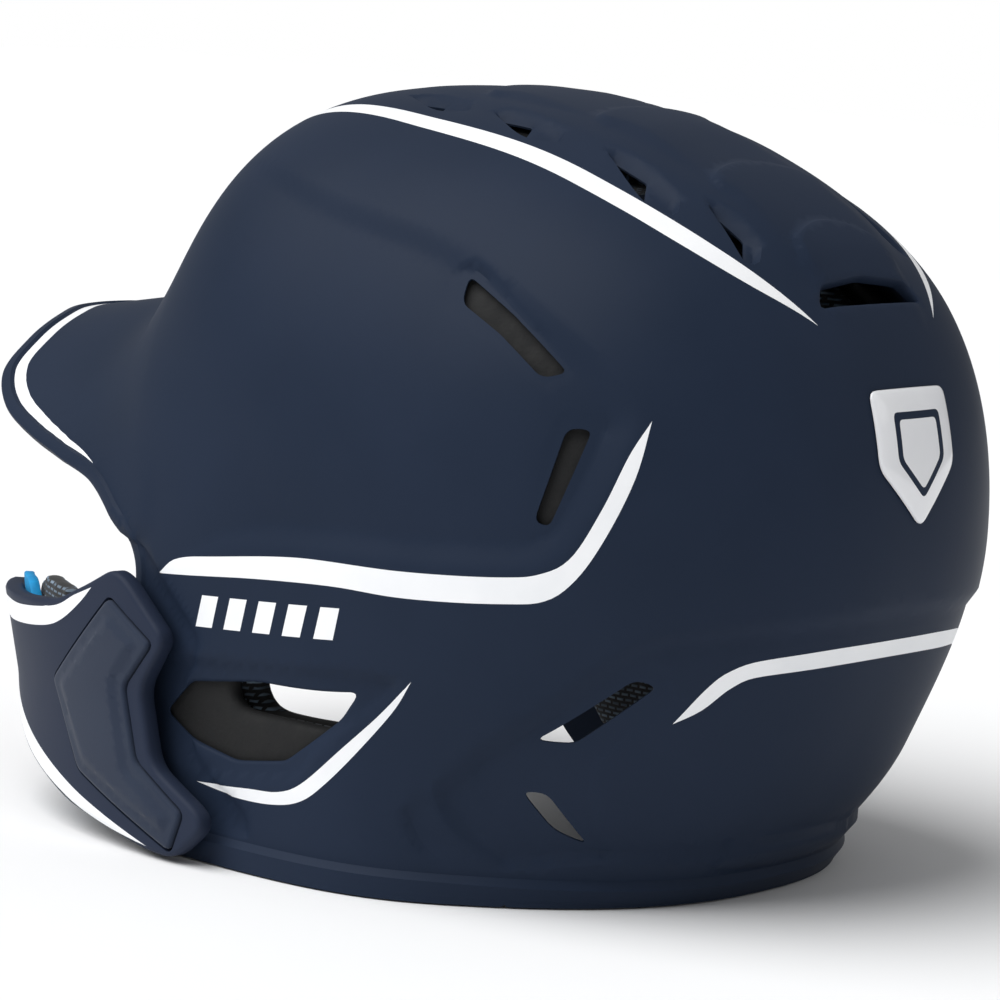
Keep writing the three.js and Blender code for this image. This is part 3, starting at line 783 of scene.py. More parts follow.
# bevels that lead into the side slots
BEVELS = [
    (
        -1.6,
        (2.2, [(72, 49), (76, 42), (88, 43), (105, 59), (107, 64)]),
        (2.2, [(107, 64), (100, 69), (72, 49)]),
    ),
    (-1.4, (2, [(68, 34), (79, 34), (84, 17), (82, 14)]), (2, [(82, 14), (73, 18), (68, 34)])),
    (
        -1.2,
        (2, [(36, 166), (40, 158), (58, 150), (73, 140)]),
        (2, [(73, 140), (79, 145), (61, 160), (44, 170), (36, 166)]),
    ),
    (
        -1.2,
        (2, [(78, 134), (72, 106), (78, 101)]),
        (2, [(78, 101), (83, 104), (90, 131), (86, 135), (78, 134)]),
    ),
]
# the seat of the jaw guard, on the left only and wider than the guard so that it can slide
GUARD_SEAT = (
    -1.0,
    (1.4, [(-76, 86), (-54, 83), (-42, 74), (-27, 60), (-34, 45), (-28, 29), (-9, 17), (-7, 9)]),
    (1.2, [(-7, 9), (-30, 8.5), (-80, 8)]),
    (1.4, [(-80, 8), (-98, 50), (-76, 86)]),
)
# pockets beside the crown plates, each with its nose, its opening and the length behind that
CROWN_POCKETS = [
    ((31, -22), (38, -8), 10),
    ((36, 12), (43, 27), 11),
    ((37, 52), (44, 70), 9),
    ((32, 82), (36, 97.5), 3),
]
CROWN_PLATES = [(-9, 25, 30), (29, 25, 70), (68, 25, 96), (94, 22, 116)]  # front, half width, back
REAR_CREASE = [
    *((89, 49, 35), (88, 61, 46), (84, 76, 58), (77, 95, 74), (72, 103, 79), (66, 110, 81)),
    *((46, 124, 84), (4, 133, 86)),
]
REAR_BOTTOM = [(76, 61, 9), (60, 86, 9), (35, 103, 9), (0, 112, 9)]
REAR_ARC = [(61, 9), (52, 18), (47, 28), (49, 35)]
LOW_PLATE = [(30, 11), (29, 19), (-29, 19), (-30, 11)]


def step_area(step, project, flip=same):
    height, *edges = step
    return Area(height, *((width, line(flip(project(points)))) for width, points in edges))


def shell_areas():
    areas = []
    for flip in (same, mirrored):
        areas += [step_area(step, on_side, flip) for step in PANEL_STEPS]
        areas.append(step_area(REAR_TERRACE, on_dome, flip))
        areas += [step_area(step, on_side, flip) for step in BEVELS]
        if flip is not mirrored:
            areas.append(step_area(GUARD_SEAT, on_side))
        for (nx, ny), (ox, oy), long in CROWN_POCKETS:
            nose, tail = (nx - 1.5, ny - 4), (ox - 0.6, oy + long)
            shoulder = (ox - 8.5, oy + long - 4)
            pocket = (
                -2.0,
                (1.2, [nose, (ox + 1.4, oy), tail]),
                (1.6, [tail, (ox - 3, oy + long), shoulder]),
                (3.6, [shoulder, (nx - 4.5, ny + 5), nose]),
            )
            areas.append(step_area(pocket, on_top, flip))
    # the lower back sits in from the crease that runs round it
    areas.append(
        Area(
            -2.1,
            (3.6, line(on_side(REAR_ARC))),
            (5.6, line(on_dome(mirror_row(REAR_CREASE)))),
            (3.6, line(mirrored(on_side(REAR_ARC[::-1])))),
            (3.0, line(on_dome(mirror_row(REAR_BOTTOM))[::-1])),
        )
    )
    # shingled plates on the crown band, each proud at its front edge
    for y0, half, y1 in CROWN_PLATES:
        arc = [(half, y0 + 14), (half - 5, y0 + 4), (0, y0), (-half + 5, y0 + 4), (-half, y0 + 14)]
        back = [(-half + 2, y1 + 4), (0, y1 - 1), (half - 2, y1 + 4)]
        plate = (1.3, (2.0, arc), (7, [arc[-1], back[0]]), (26, back), (7, [back[-1], arc[0]]))
        areas.append(step_area(plate, on_top))
    # a plain plate low on the back
    sides = zip(LOW_PLATE, (*LOW_PLATE[1:], LOW_PLATE[0]))
    areas.append(step_area((0.6, *((0.8, list(ends)) for ends in sides)), on_back))
    return areas


def shell_holes():
    holes = []
    for flip in (same, mirrored):
        holes += [loop_of(flip(on_side(rounded(outline, 2.5)))) for outline in (EAR_HOLE, *SIDE_SLOTS)]
        holes += [loop_of(flip(on_top(rounded(outline, 0.8, 3)))) for outline in CROWN_SCOOPS]
    holes.append(loop_of(on_back(rounded(REAR_SLOT, 1.5, 3))))
    turn = np.linspace(0, 2 * np.pi, 20, endpoint=False)
    for y, z in SCREW_POINTS:
        circle = np.stack([y + SCREW_HOLE_R * np.cos(turn), z + SCREW_HOLE_R * np.sin(turn)], axis=1)
        holes.append(shell_chart(on_side(circle)))
    return holes


def shell_grid(spacing):
    rows = []
    for k, angle in enumerate(np.arange(0.01, 2.45, spacing / 118)):
        count = max(6, int(2 * np.pi * np.sin(angle) * 122 / spacing))
        turn = (np.arange(count) + 0.5 * (k % 2)) * 2 * np.pi / count
        rows.append(np.stack([angle * np.cos(turn), angle * np.sin(turn)], axis=1))
    return np.vstack(rows)


def build_shell():
    directions, flat = shell_outline()
    outline = shell_chart(directions)
    flat_points = kdtree.KDTree(int(flat.sum()))
    for i, p in enumerate(outline[flat]):
        flat_points.insert((*p, 0), i)
    flat_points.balance()
    holes = shell_holes()
    edges = []
    for loop, amounts in ((outline, (0.35, 1.1, 3.6, 4.4)), *((hole, (-0.35, -1.0)) for hole in holes)):
        closed = closed_line(loop)
        sign = 1 if (np.cross(closed[:-1], closed[1:]).sum()) > 0 else -1
        edges += [sideways(closed, shell_place, sign * amount) for amount in amounts]
    round_back = np.linspace(RIM_START - 2, 362 - RIM_START, 300)
    edges += [shell_chart(rim_directions(round_back, RIM_HEIGHT + step)) for step in (-0.8, 0.8)]
    skin = Skin(
        shell_place,
        outline,
        shell_grid(bpy.context.scene.helmet_shell.spacing / MM),
        holes=holes,
        areas=shell_areas(),
        painted=painted_loops(),
        lines=edges,
        clear=0.9,
    )
    d = shell_direction(skin.uv)
    r = body_radius(d)
    normal = shell_normal(d)
    inner = d * r[:, None] + CENTRE - WALL * normal
    hole_gap = skin.edge_gap(1.2, outline=False)
    rim_gap = skin.edge_gap(6.0, holes=False)
    on_bill = np.clip((skin.points[:, 2] - 12) / 8, 0, 1)
    band = 0.9 * (1 - np.clip((rim_gap - 3.6) / 0.8, 0, 1)) * on_bill
    lift = skin.lift() + lip(r, d) + band - rounding(hole_gap, 1.0) - rounding(rim_gap, 1.1) * (on_bill > 0)
    lift = np.maximum(lift, -DEEPEST_STEP)
    outer = d * r[:, None] + CENTRE + lift[:, None] * normal
    inner += (0.8 * rounding(rim_gap, 1.0) * (on_bill > 0))[:, None] * normal
    on_flat = np.array([flat_points.find((*p, 0))[2] < 1e-5 for p in skin.uv])
    level = unit(normal * np.array([1, 1, 0]))
    outer[on_flat, 2] = 0
    inner[on_flat] = (d * r[:, None] + CENTRE - WALL * level)[on_flat]
    inner[on_flat, 2] = 0
    low = ~on_flat
    outer[low, 2] = np.maximum(outer[low, 2], 0.2)
    inner[low, 2] = np.maximum(inner[low, 2], 0.4)
    shell = closed_skin("helmet_shell", skin, outer, inner, [MATERIALS["paint"], MATERIALS["ink"]], 40)
    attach(shell, "helmet")
    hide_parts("shell")


# ---- Badge on the back ----
EMBLEM = [(-17, 142), (-17, 122), (0, 106), (17, 122), (17, 142)]


def build_badge():
    outline = loop_of(on_back(rounded(EMBLEM, 3)))
    middle = shell_chart(on_back([(0, 126)]))
    ring = [middle + (outline - middle) * share for share in (0.62, 0.5)]
    span = outline.max(axis=0) - outline.min(axis=0)
    steps = np.stack(np.meshgrid(*(np.linspace(0, 1, 26),) * 2), axis=-1).reshape(-1, 2)
    closed = closed_line(outline)
    edges = [sideways(closed, shell_place, s * a) for s in (1, -1) for a in (0.4, 1.2, 2.5)]
    edges = [e for e in edges if inside(e, outline).mean() > 0.7]
    grid = outline.min(axis=0) + steps * span
    skin = Skin(shell_place, outline, grid, painted=[ring[0]], lines=[*edges, ring[1]], clear=0.6)
    skin.slots[inside(skin.uv[skin.triangles].mean(axis=1), ring[1])] = 0
    d = shell_direction(skin.uv)
    normal = shell_normal(d)
    gap = skin.edge_gap(9)
    dome = 0.4 + 1.1 * np.sqrt(np.clip(1 - (1 - gap / 9) ** 2, 0, 1))
    base = skin.points + FIT * normal
    face = base + dome[:, None] * normal
    badge = closed_skin("rear_badge", skin, face, base, [MATERIALS["dome"], MATERIALS["paint"]], 60)
    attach(badge, "helmet")
    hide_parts("rear_emblem")


# ---- Jaw guard ----
GUARD_OUTLINE = [
    *((-138, 58), (-105, 60), (-82, 63), (-67, 70), (-56, 76), (-50, 74), (-33, 60), (-42, 45), (-36, 25)),
    *((-17, 15), (-16, 10), (-26, 1), (-35, 1), (-73, 7.5), (-98, 15.2), (-121, 26), (-134, 40.5)),
]
COVER_OUTLINE = [(-81, 41), (-56, 68), (-38, 58), (-48, 45), (-42, 25), (-23, 14), (-27, 3), (-67, 18)]
GUARD_STRIP_OUTLINE = [
    *((-130, 62), (-114, 63), (-107, 54), (-78, 50), (-78, 14), (-94, 19), (-112, 29), (-125, 42)),
]
GUARD_TOP_UPPER = [(-64, 69.5), (-72, 66), (-82, 61.3), (-103, 57.6), (-120, 56.6), (-134, 54)]
GUARD_TOP_LOWER = [(-64, 69.5), (-69, 64.5), (-77, 58.6), (-86, 55), (-103, 52.2), (-120, 51), (-134, 54)]
GUARD_LOW_UPPER = [(-126, 36.5), (-117, 31.5), (-98, 22.5), (-73, 13.2), (-55, 7.8), (-36, 2.6)]
GUARD_LOW_LOWER = [(-126, 36.5), (-117, 26.5), (-98, 16.8), (-73, 9), (-55, 5), (-36, 2.6)]
CHART_LENGTH = 150.0  # chart length of the guard's band
GUARD_TURN = 1.4  # radians that the whole chart length turns round the cheek
GUARD_START = 5.0  # how far ahead of the origin the band begins to turn
GUARD_SQUARENESS = 2.6


def guard_reach(z):
    """How far forward the band would run at a height; it leans back towards its lower edge."""
    return 145 - 0.36 * np.maximum(0, 60 - z) + 0.2 * np.maximum(0, 35 - z)


def guard_point(share, z, offset):
    """Points at a share of the chart's length, at a height, and off the band's inner face."""

    def place(t):
        y = -GUARD_START - guard_reach(z) * np.sin(GUARD_TURN * t)
        forward = np.clip(-(y + GUARD_START) / guard_reach(z), 0, 1)
        x = (HALF_WIDTH + GUARD_GAP) * (1 - forward**GUARD_SQUARENESS) ** (1 / GUARD_SQUARENESS)
        return np.stack([x, y, z], axis=1)

    tangent = unit(place(share + 0.005) - place(share - 0.005))
    normal = unit(np.stack([-tangent[:, 1], tangent[:, 0], np.zeros(len(z))], axis=1))
    return place(share) + normal * np.asarray(offset).reshape(-1, 1)


def guard_place(uv):
    return guard_point(uv[:, 0] / CHART_LENGTH, uv[:, 1], GUARD_THICK)


def guard_chart(pairs):
    y, z = np.asarray(pairs, float).T
    share = np.arcsin(np.clip(-(y + GUARD_START) / guard_reach(z), 0, 0.999)) / GUARD_TURN
    return np.stack([share * CHART_LENGTH, z], axis=1)


def grown(outline, amount):
    """The outline moved outwards by the same amount along every edge."""
    p = np.asarray(outline, float)
    before, after = unit(p - np.roll(p, 1, axis=0)), unit(np.roll(p, -1, axis=0) - p)
    x, y = p.T
    turn = np.sign((x * np.roll(y, -1) - np.roll(x, -1) * y).sum())
    bisector = unit(np.stack([before[:, 1] + after[:, 1], -before[:, 0] - after[:, 0]], axis=1))
    reach = turn * amount / (bisector[:, 0] * after[:, 1] - bisector[:, 1] * after[:, 0])
    return p + bisector * reach[:, None]


def guard_loop(outline, corner, spacing=1.2):
    return guard_chart(filled_in(rounded(outline, corner, 7), spacing))


def inward(loop, place, amounts):
    """Copies of a closed loop moved inwards by each amount."""
    rows = []
    for amount in amounts:
        moved = sideways(closed_line(loop), place, amount)
        if inside(moved, loop).mean() < 0.5:
            moved = sideways(closed_line(loop), place, -amount)
        rows.append(moved)
    return rows


def slot_loop(radius, point, front=2.0, back=5.0):
    """The stadium that a screw's shank or head sweeps as the guard slides."""
    y, z = point
    turn = np.linspace(-np.pi / 2, np.pi / 2, 12)
    near = np.stack([y + front + radius * np.cos(turn), z + radius * np.sin(turn)], axis=1)
    far = np.stack([y - back - radius * np.cos(turn), z - radius * np.sin(turn)], axis=1)
    return guard_chart(filled_in(np.vstack([near, far]), 1.5))


def chart_grid(loop, spacing):
    low, high = loop.min(axis=0), loop.max(axis=0)
    u = np.arange(low[0], high[0], spacing)
    v = np.arange(low[1], high[1], spacing * 0.87)
    grid = np.stack(np.meshgrid(u, v), axis=-1)
    grid[1::2, :, 0] += spacing / 2
    return grid.reshape(-1, 2)


def guard_skin(outline, spacing, holes=(), areas=(), painted=(), edge=(0.4, 1.1, 2.0)):
    lines = inward(outline, guard_place, edge)
    for hole in holes:
        lines += [sideways(closed_line(hole), guard_place, s * 0.5) for s in (1, -1)]
    grid = chart_grid(outline, spacing)
    return Skin(guard_place, outline, grid, holes=holes, areas=areas, painted=painted, lines=lines, clear=0.7)


def guard_wall(name, skin, outer, inner, materials):
    share, z = skin.uv[:, 0] / CHART_LENGTH, skin.uv[:, 1]
    return closed_skin(name, skin, guard_point(share, z, outer), guard_point(share, z, inner), materials, 40)


def guard_ribbon(first, second):
    a = guard_chart(curve(first, 1.5))
    b = guard_chart(curve(second, 1.5))[::-1]
    return np.vstack([a, b[1:-1]])


def build_guard():
    seat = guard_loop(grown(COVER_OUTLINE, 0.7), 2.6)
    floor = Area(-POCKET_DEPTH, (0.5, closed_line(seat)))
    slots = [slot_loop(2.7, point) for point in SCREW_POINTS]
    edges = ((GUARD_TOP_UPPER, GUARD_TOP_LOWER), (GUARD_LOW_UPPER, GUARD_LOW_LOWER))
    stripes = [guard_ribbon(upper, lower) for upper, lower in edges]
    outline = guard_loop(GUARD_OUTLINE, 4.5)
    skin = guard_skin(outline, 1.9, slots, [floor], stripes)
    gap = skin.edge_gap(2.2, holes=False)
    outer = GUARD_THICK + skin.lift() - rounding(gap, 1.4)
    materials = [MATERIALS["nylon"], MATERIALS["ink"]]
    guard = guard_wall("jaw_guard_shell", skin, outer, rounding(gap, 1.0), materials)
    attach(guard, "guard")
    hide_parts("jaw_guard")


def screw_room(skin, reliefs, base):
    """Height to take off the cover's underside so that it clears the flat screw heads."""
    share, z = skin.uv[:, 0] / CHART_LENGTH, skin.uv[:, 1]
    floor, above = (guard_point(share, z, height)[:, 0] for height in (0.0, 1.0))
    room = np.zeros(len(share))
    for number, relief in enumerate(reliefs, 1):
        head_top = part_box(f"guard_screw_{number}")[1][0] / MM
        wanted = (head_top + FIT - floor) / (above - floor) - base
        room += relief.lift(skin.uv, skin.points, guard_place) * np.maximum(wanted, 0)
    return room


def build_cover():
    outline = guard_loop(COVER_OUTLINE, 2.2, 1.0)
    panel = guard_loop(grown(COVER_OUTLINE, -3.6), 2.4, 1.0)
    raised = Area(0.8, (1.5, closed_line(panel)))
    # longer to the rear, since height above the curved guard moves the relief forward
    reliefs = [Area(1.0, (0.4, closed_line(slot_loop(5.2, point, front=3.9)))) for point in SCREW_POINTS]
    skin = guard_skin(outline, 1.6, areas=[raised, *reliefs], edge=(0.25, 0.7, 1.3))
    gap = skin.edge_gap(1.5)
    base = GUARD_THICK - POCKET_DEPTH + FIT
    outer = base + COVER_THICK + raised.lift(skin.uv, skin.points, guard_place) - rounding(gap, 1.0)
    inner = base + screw_room(skin, reliefs, base)
    inner = np.minimum(inner, outer - 0.3)
    cover = guard_wall("guard_rubber_cover", skin, outer, inner, [MATERIALS["rubber"]])
    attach(cover, "cover")
    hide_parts("jaw_guard_cover")


def build_guard_foam():
    outline = guard_loop(GUARD_STRIP_OUTLINE, 4)
    skin = guard_skin(outline, 2.4, edge=(0.3, 0.8))
    gap = skin.edge_gap(1.0)
    outer = -FIT - rounding(gap, 0.5)
    inner = -FIT - 3.0 + rounding(gap, 0.5)
    foam = guard_wall("guard_foam_strip", skin, outer, inner, [MATERIALS["blue"]])
    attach(foam, "guard")
    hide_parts("jaw_guard_pad_base")


# ---- Screws ----
def build_screws():
    """Pan-head screws with a hexagon socket, under the rubber cover."""
    for number in (1, 2):
        low, high = (np.array(corner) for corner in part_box(f"guard_screw_{number}"))
        middle = (low + high) / 2
        head_r, head_h, shank_r = 4.5 * MM, 1.4 * MM, 2.3 * MM
        inset_r, socket_r, socket_depth = 1.7 * MM, 1.6 * MM, 1.0 * MM
        bpy.ops.object.select_all(action="DESELECT")
        bpy.ops.mesh.primitive_cylinder_add(
            vertices=48,
            radius=head_r,
            depth=head_h,
            location=(high[0] - head_h / 2, middle[1], middle[2]),
            rotation=(0, math.pi / 2, 0),
        )
        screw = bpy.context.object
        screw.name = f"guard_screw_detail_{number}"
        bpy.ops.object.transform_apply(location=True, rotation=True, scale=True)
        bpy.ops.object.mode_set(mode="EDIT")
        mesh = bmesh.from_edit_mesh(screw.data)
        top = max(mesh.faces, key=lambda f: f.calc_center_median().x)
        bottom = min(mesh.faces, key=lambda f: f.calc_center_median().x)
        bmesh.ops.inset_region(mesh, faces=[top], thickness=head_r - inset_r)
        for vertex in top.verts:
            y, z = vertex.co.y - middle[1], vertex.co.z - middle[2]
            turn = math.atan2(z, y) % (math.pi / 3) - math.pi / 6
            reach = socket_r * math.cos(math.pi / 6) / math.cos(turn) / math.hypot(y, z)
            vertex.co.y, vertex.co.z = middle[1] + y * reach, middle[2] + z * reach
        socket = bmesh.ops.extrude_discrete_faces(mesh, faces=[top])["faces"]
        bmesh.ops.translate(mesh, verts=socket[0].verts, vec=(-socket_depth, 0, 0))
        bmesh.ops.inset_region(mesh, faces=[bottom], thickness=head_r - shank_r)
        shank = bmesh.ops.extrude_discrete_faces(mesh, faces=[bottom])["faces"]
        bmesh.ops.translate(mesh, verts=shank[0].verts, vec=(low[0] - (high[0] - head_h), 0, 0))
        bmesh.ops.remove_doubles(mesh, verts=mesh.verts, dist=1e-6)
        bmesh.ops.recalc_face_normals(mesh, faces=mesh.faces)
        bmesh.update_edit_mesh(screw.data)
        bpy.ops.object.mode_set(mode="OBJECT")
        bevel = screw.modifiers.new("edge", "BEVEL")
        bevel.width = 0.3 * MM
        bevel.segments = 3
        bevel.limit_method = "ANGLE"
        bpy.ops.object.modifier_apply(modifier="edge")
        screw.data.materials.append(MATERIALS["steel"])
        finish_smooth(screw, 35)
        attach(screw, "helmet")
        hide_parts(f"guard_screw_{number}")
        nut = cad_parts[f"guard_nut_{number}"]
        nut.data.materials.clear()
        nut.data.materials.append(MATERIALS["steel"])


# ---- Liner ----
LINER_DEPTH = 11.3  # from the shell's face to the fabric pads: wall, gap, foam and fit
EAR_DEPTH = 10.9  # the same at the ear pads, straight across
SWELL_FRAMES = 20
PADS = {
    "front": ("helmet", 0.85),
    "crown": ("helmet", 0.85),
    "side_left": ("helmet", 0.85),
    "side_right": ("helmet", 0.85),
    "rear": ("helmet", 0.85),
    "ear_left": ("helmet", 0.8),
    "ear_right": ("helmet", 0.8),
    "jaw_guard": ("guard", 0.8),
}


def pad_nodes(key):
    return "jaw_guard_pad" if key == "jaw_guard" else f"pad_{key}"


def copied_solid(name, node, voxel):
    """A copy of a CAD solid, merged and remeshed into even quads."""
    made = bpy.data.objects.new(name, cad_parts[node].data.copy())
    made.data.name = name
    made.data.materials.clear()
    bpy.context.scene.collection.objects.link(made)
    mesh = bmesh.new()
    mesh.from_mesh(made.data)
    bmesh.ops.remove_doubles(mesh, verts=mesh.verts, dist=2e-5)
    mesh.to_mesh(made.data)
    mesh.free()
    remesh = made.modifiers.new("remesh", "REMESH")
    remesh.mode = "VOXEL"
    remesh.voxel_size = voxel
    apply_all(made)
    return made


def apply_all(made):
    """Applies every modifier of a piece, as it stands in the present frame."""
    graph = bpy.context.evaluated_depsgraph_get()
    mesh = bpy.data.meshes.new_from_object(made.evaluated_get(graph))
    made.modifiers.clear()
    old = made.data
    made.data = mesh
    bpy.data.meshes.remove(old)
    mesh.name = made.name


def vertex_values(made, key="co"):
    flat = np.empty(len(made.data.vertices) * 3, dtype=np.float32)
    made.data.vertices.foreach_get(key, flat)
    return flat.reshape(-1, 3).astype(float)


def set_coordinates(made, points):
    made.data.vertices.foreach_set("co", points.astype(np.float32).ravel())
    made.data.update()


def weave_map(made, key):
    """A map in millimetres that the knit follows: round the head, over the crown, or along the cheek."""
    layer = made.data.uv_layers.new(name="weave")
    points = vertex_values(made) / MM
    loops = np.empty(len(made.data.loops), dtype=np.int32)
    made.data.loops.foreach_get("vertex_index", loops)
    x, y, z = points[loops].T
    if key == "crown":
        uv = np.stack([x, y], axis=1)
    elif key.startswith("ear") or key == "jaw_guard":
        uv = np.stack([y, z], axis=1)
    else:
        uv = np.stack([np.unwrap(np.arctan2(x, -y if key == "front" else y)) * 95, z], axis=1)
    layer.data.foreach_set("uv", uv.astype(np.float32).ravel())


def keep_clear(points, key):
    """Holds a liner pad off the foam behind it."""
    p = points / MM
    if key.startswith("ear"):
        y, z = p[:, 1], p[:, 2]
        d = on_side(np.stack([y, z], axis=1))
        most = dome_radius(d) * d[:, 0] - EAR_DEPTH
        p[:, 0] = np.sign(p[:, 0]) * np.minimum(np.abs(p[:, 0]), most)
    elif key != "jaw_guard":
        v = p - CENTRE
        reach = np.linalg.norm(v, axis=1)
        most = dome_radius(v / reach[:, None]) - LINER_DEPTH - 0.4
        p = CENTRE + v * (np.minimum(reach, most) / reach)[:, None]
    return p * MM


def channels(points, key, outward):
    """Presses shallow channels into a pad's inner face, where its cover is heat bonded to the foam."""
    p = points / MM
    if key in ("front", "rear"):
        across = np.degrees(np.arctan2(p[:, 0], np.abs(p[:, 1])))
        gap = np.minimum(np.abs(across - 14), np.abs(across + 14)) * 1.7
    elif key == "crown":
        gap = np.minimum(np.abs(p[:, 1] - 22), np.abs(p[:, 1] + 8))
    elif key.startswith("side"):
        gap = np.abs(np.degrees(np.arctan2(np.abs(p[:, 0]), -p[:, 1])) - 100) * 1.7
    else:
        return points
    depth = 2.2 * np.exp(-((gap / 2.4) ** 2)) * np.clip(-outward, 0, 1)
    away = unit(p - CENTRE)
    return (p + away * depth[:, None]) * MM


def build_liner():
    settings = bpy.context.scene.helmet_liner
    made = {}
    for key, (body, _) in PADS.items():
        piece = copied_solid(f"cushion_{key}", pad_nodes(key), settings.voxel)
        rest = vertex_values(piece) - 0.9 * MM * vertex_values(piece, "normal")
        set_coordinates(piece, rest)
        made[key] = (piece, rest)
    swell([piece for piece, _ in made.values()], settings)
    for key, (piece, rest) in made.items():
        apply_all(piece)
        moved = vertex_values(piece) - rest
        size = np.linalg.norm(moved, axis=1, keepdims=True)
        moved *= np.minimum(1, settings.cap / np.maximum(size, 1e-9))
        set_coordinates(piece, keep_clear(rest + moved, key))
        subdivide = piece.modifiers.new("round", "SUBSURF")
        subdivide.levels = 1
        subdivide.render_levels = 1
        apply_all(piece)
        points = vertex_values(piece)
        outward = (unit(points / MM - CENTRE) * vertex_values(piece, "normal")).sum(axis=1)
        set_coordinates(piece, channels(points, key, outward))
        piece.data.materials.append(MATERIALS["knit"])
        weave_map(piece, key)
        finish_smooth(piece, 180)
        body, fill = PADS[key]
        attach(piece, body)
        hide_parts(pad_nodes(key))


def swell(pieces, settings):
    """Blows the cushions up a little as cloth, without gravity."""
    scene = bpy.context.scene
    for piece in pieces:
        cloth = piece.modifiers.new("cloth", "CLOTH")
        cloth.settings.use_pressure = True
        cloth.settings.uniform_pressure_force = settings.pressure
        cloth.settings.effector_weights.gravity = 0
        cloth.settings.quality = 4
        cloth.point_cache.frame_start = 1
        cloth.point_cache.frame_end = SWELL_FRAMES
    for frame_number in range(1, SWELL_FRAMES + 1):
        scene.frame_set(frame_number)


def build_foams():
    for key in ("front", "crown", "side_left", "side_right", "rear", "ear_left", "ear_right"):
        piece = copied_solid(f"foam_block_{key}", f"foam_{key}", 2.2 * MM)
        soften = piece.modifiers.new("soften", "SMOOTH")
        soften.factor = 0.5
        soften.iterations = 3
        apply_all(piece)
        piece.data.materials.append(MATERIALS["foam"])
        finish_smooth(piece, 180)
        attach(piece, "helmet")
        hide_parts(f"foam_{key}")


# ---- Studio ----
def build_stage():
    settings = bpy.context.scene.helmet_stage
    bpy.ops.object.select_all(action="DESELECT")
    bpy.ops.mesh.primitive_plane_add(size=settings.floor, location=(0, 0, -0.0005))
    floor = bpy.context.object
    floor.name = "studio_floor"
    bpy.ops.object.transform_apply(location=True, rotation=True, scale=True)
    # seamless paper: white, without shine
    material, tree, shader, place = new_material("Seamless White Paper", {})
    mottled(tree, shader, place, "f3f4f5", "f6f6f7", 400, (0.9, 0.96))
    floor.data.materials.append(material)

    world = bpy.data.worlds.new("studio_air")
    world.use_nodes = True
    tree = world.node_tree
    # the backdrop shows white, and lights the helmet only as strongly as the surround says
    path = add_node(tree, "ShaderNodeLightPath")
    limits = [("To Min", settings.surround), ("To Max", 1.0)]
    strength = add_node(tree, "ShaderNodeMapRange", [("Value", path.outputs["Is Camera Ray"])], limits)
    tree.nodes["Background"].inputs["Color"].default_value = (1, 1, 1, 1)
    tree.links.new(strength.outputs["Result"], tree.nodes["Background"].inputs["Strength"])
    bpy.context.scene.world = world

    # far, broad lamps, by their bearing round the helmet and height, 0 in front of the bill
    for name, bearing, height, breadth, power in (
        ("overhead_left", 60, 56, 60, 1.0),
        ("rear_edge", 215, 30, 30, 0.04),
    ):
        lamp = bpy.data.lights.new(name, "SUN")
        lamp.angle = math.radians(breadth)
        lamp.energy = settings.light * power
        holder = bpy.data.objects.new(name, lamp)
        way = Vector(azimuth_direction(bearing, height))
        holder.location = Vector(CENTRE * MM) + 2 * way
        holder.rotation_euler = way.to_track_quat("Z", "Y").to_euler()
        bpy.context.scene.collection.objects.link(holder)

    camera = bpy.data.cameras.new("studio_camera")
    camera.lens = settings.lens
    camera.sensor_width = 36
    camera.shift_x = -0.023
    camera.shift_y = -0.010
    camera.clip_end = 20
    holder = bpy.data.objects.new("studio_camera", camera)
    bearing, rise = math.radians(129), math.radians(5)
    back = Vector((math.sin(bearing) * math.cos(rise), -math.cos(bearing) * math.cos(rise), math.sin(rise)))
    right = Vector((math.cos(bearing), math.sin(bearing), 0))
    tilt = Matrix.Rotation(math.radians(4.5), 3, "X")
    axes = Matrix([tilt @ right, tilt @ back.cross(right), tilt @ back]).transposed().to_4x4()
    axes.translation = Vector(CENTRE * MM) + settings.distance * (tilt @ back)
    holder.matrix_world = axes
    bpy.context.scene.collection.objects.link(holder)
    bpy.context.scene.camera = holder
    bpy.context.scene.view_settings.view_transform = "Standard"


# ---- Settings that a user would change ----
def number(name, description, default, **limits):
    return bpy.props.FloatProperty(name=name, description=description, default=default, **limits)


def length(name, description, default, **limits):
    return number(name, description, default, unit="LENGTH", **limits)


class HelmetShellSettings(bpy.types.PropertyGroup):
    spacing: length("Mesh Spacing", "Distance between points on the open faces", 0.0023, min=0.001)


class HelmetLinerSettings(bpy.types.PropertyGroup):
    voxel: length("Remesh Size", "Size of the quads that the cushions are simulated with", 0.004, min=0.002)
    pressure: number("Filling Pressure", "Pressure that swells the cushions", 4.0, min=0.0)
    cap: length("Most Swelling", "The furthest that a point of a cushion may move", 0.003, min=0.0)


class HelmetStageSettings(bpy.types.PropertyGroup):
    floor: length("Floor Size", "Side of the square floor", 8.0)
    lens: number("Focal Length", "Focal length of the camera in millimetres", 152.5)
    distance: length("Camera Distance", "From the camera to the middle of the helmet", 1.2)
    light: number("Lamp Power", "Strength of the main lamp in watts per square metre", 3.1)
    surround: number("Surround", "Strength of the even white light from all round", 0.32)


# ---- Operators ----
class HelmetStep:
    """What the operators share: each runs its makers in turn."""

    def execute(self, context):
        for make in self.makers:
            make()
        return {"FINISHED"}


class HELMET_OT_shell(HelmetStep, bpy.types.Operator):
    """Build the painted shell with its creases, slots and stripes"""

    bl_idname = "helmet.shell"
    bl_label = "Build Shell"
    makers = (build_shell,)


class HELMET_OT_badge(HelmetStep, bpy.types.Operator):
    """Build the domed badge on the back"""

    bl_idname = "helmet.badge"
    bl_label = "Build Badge"
    makers = (build_badge,)


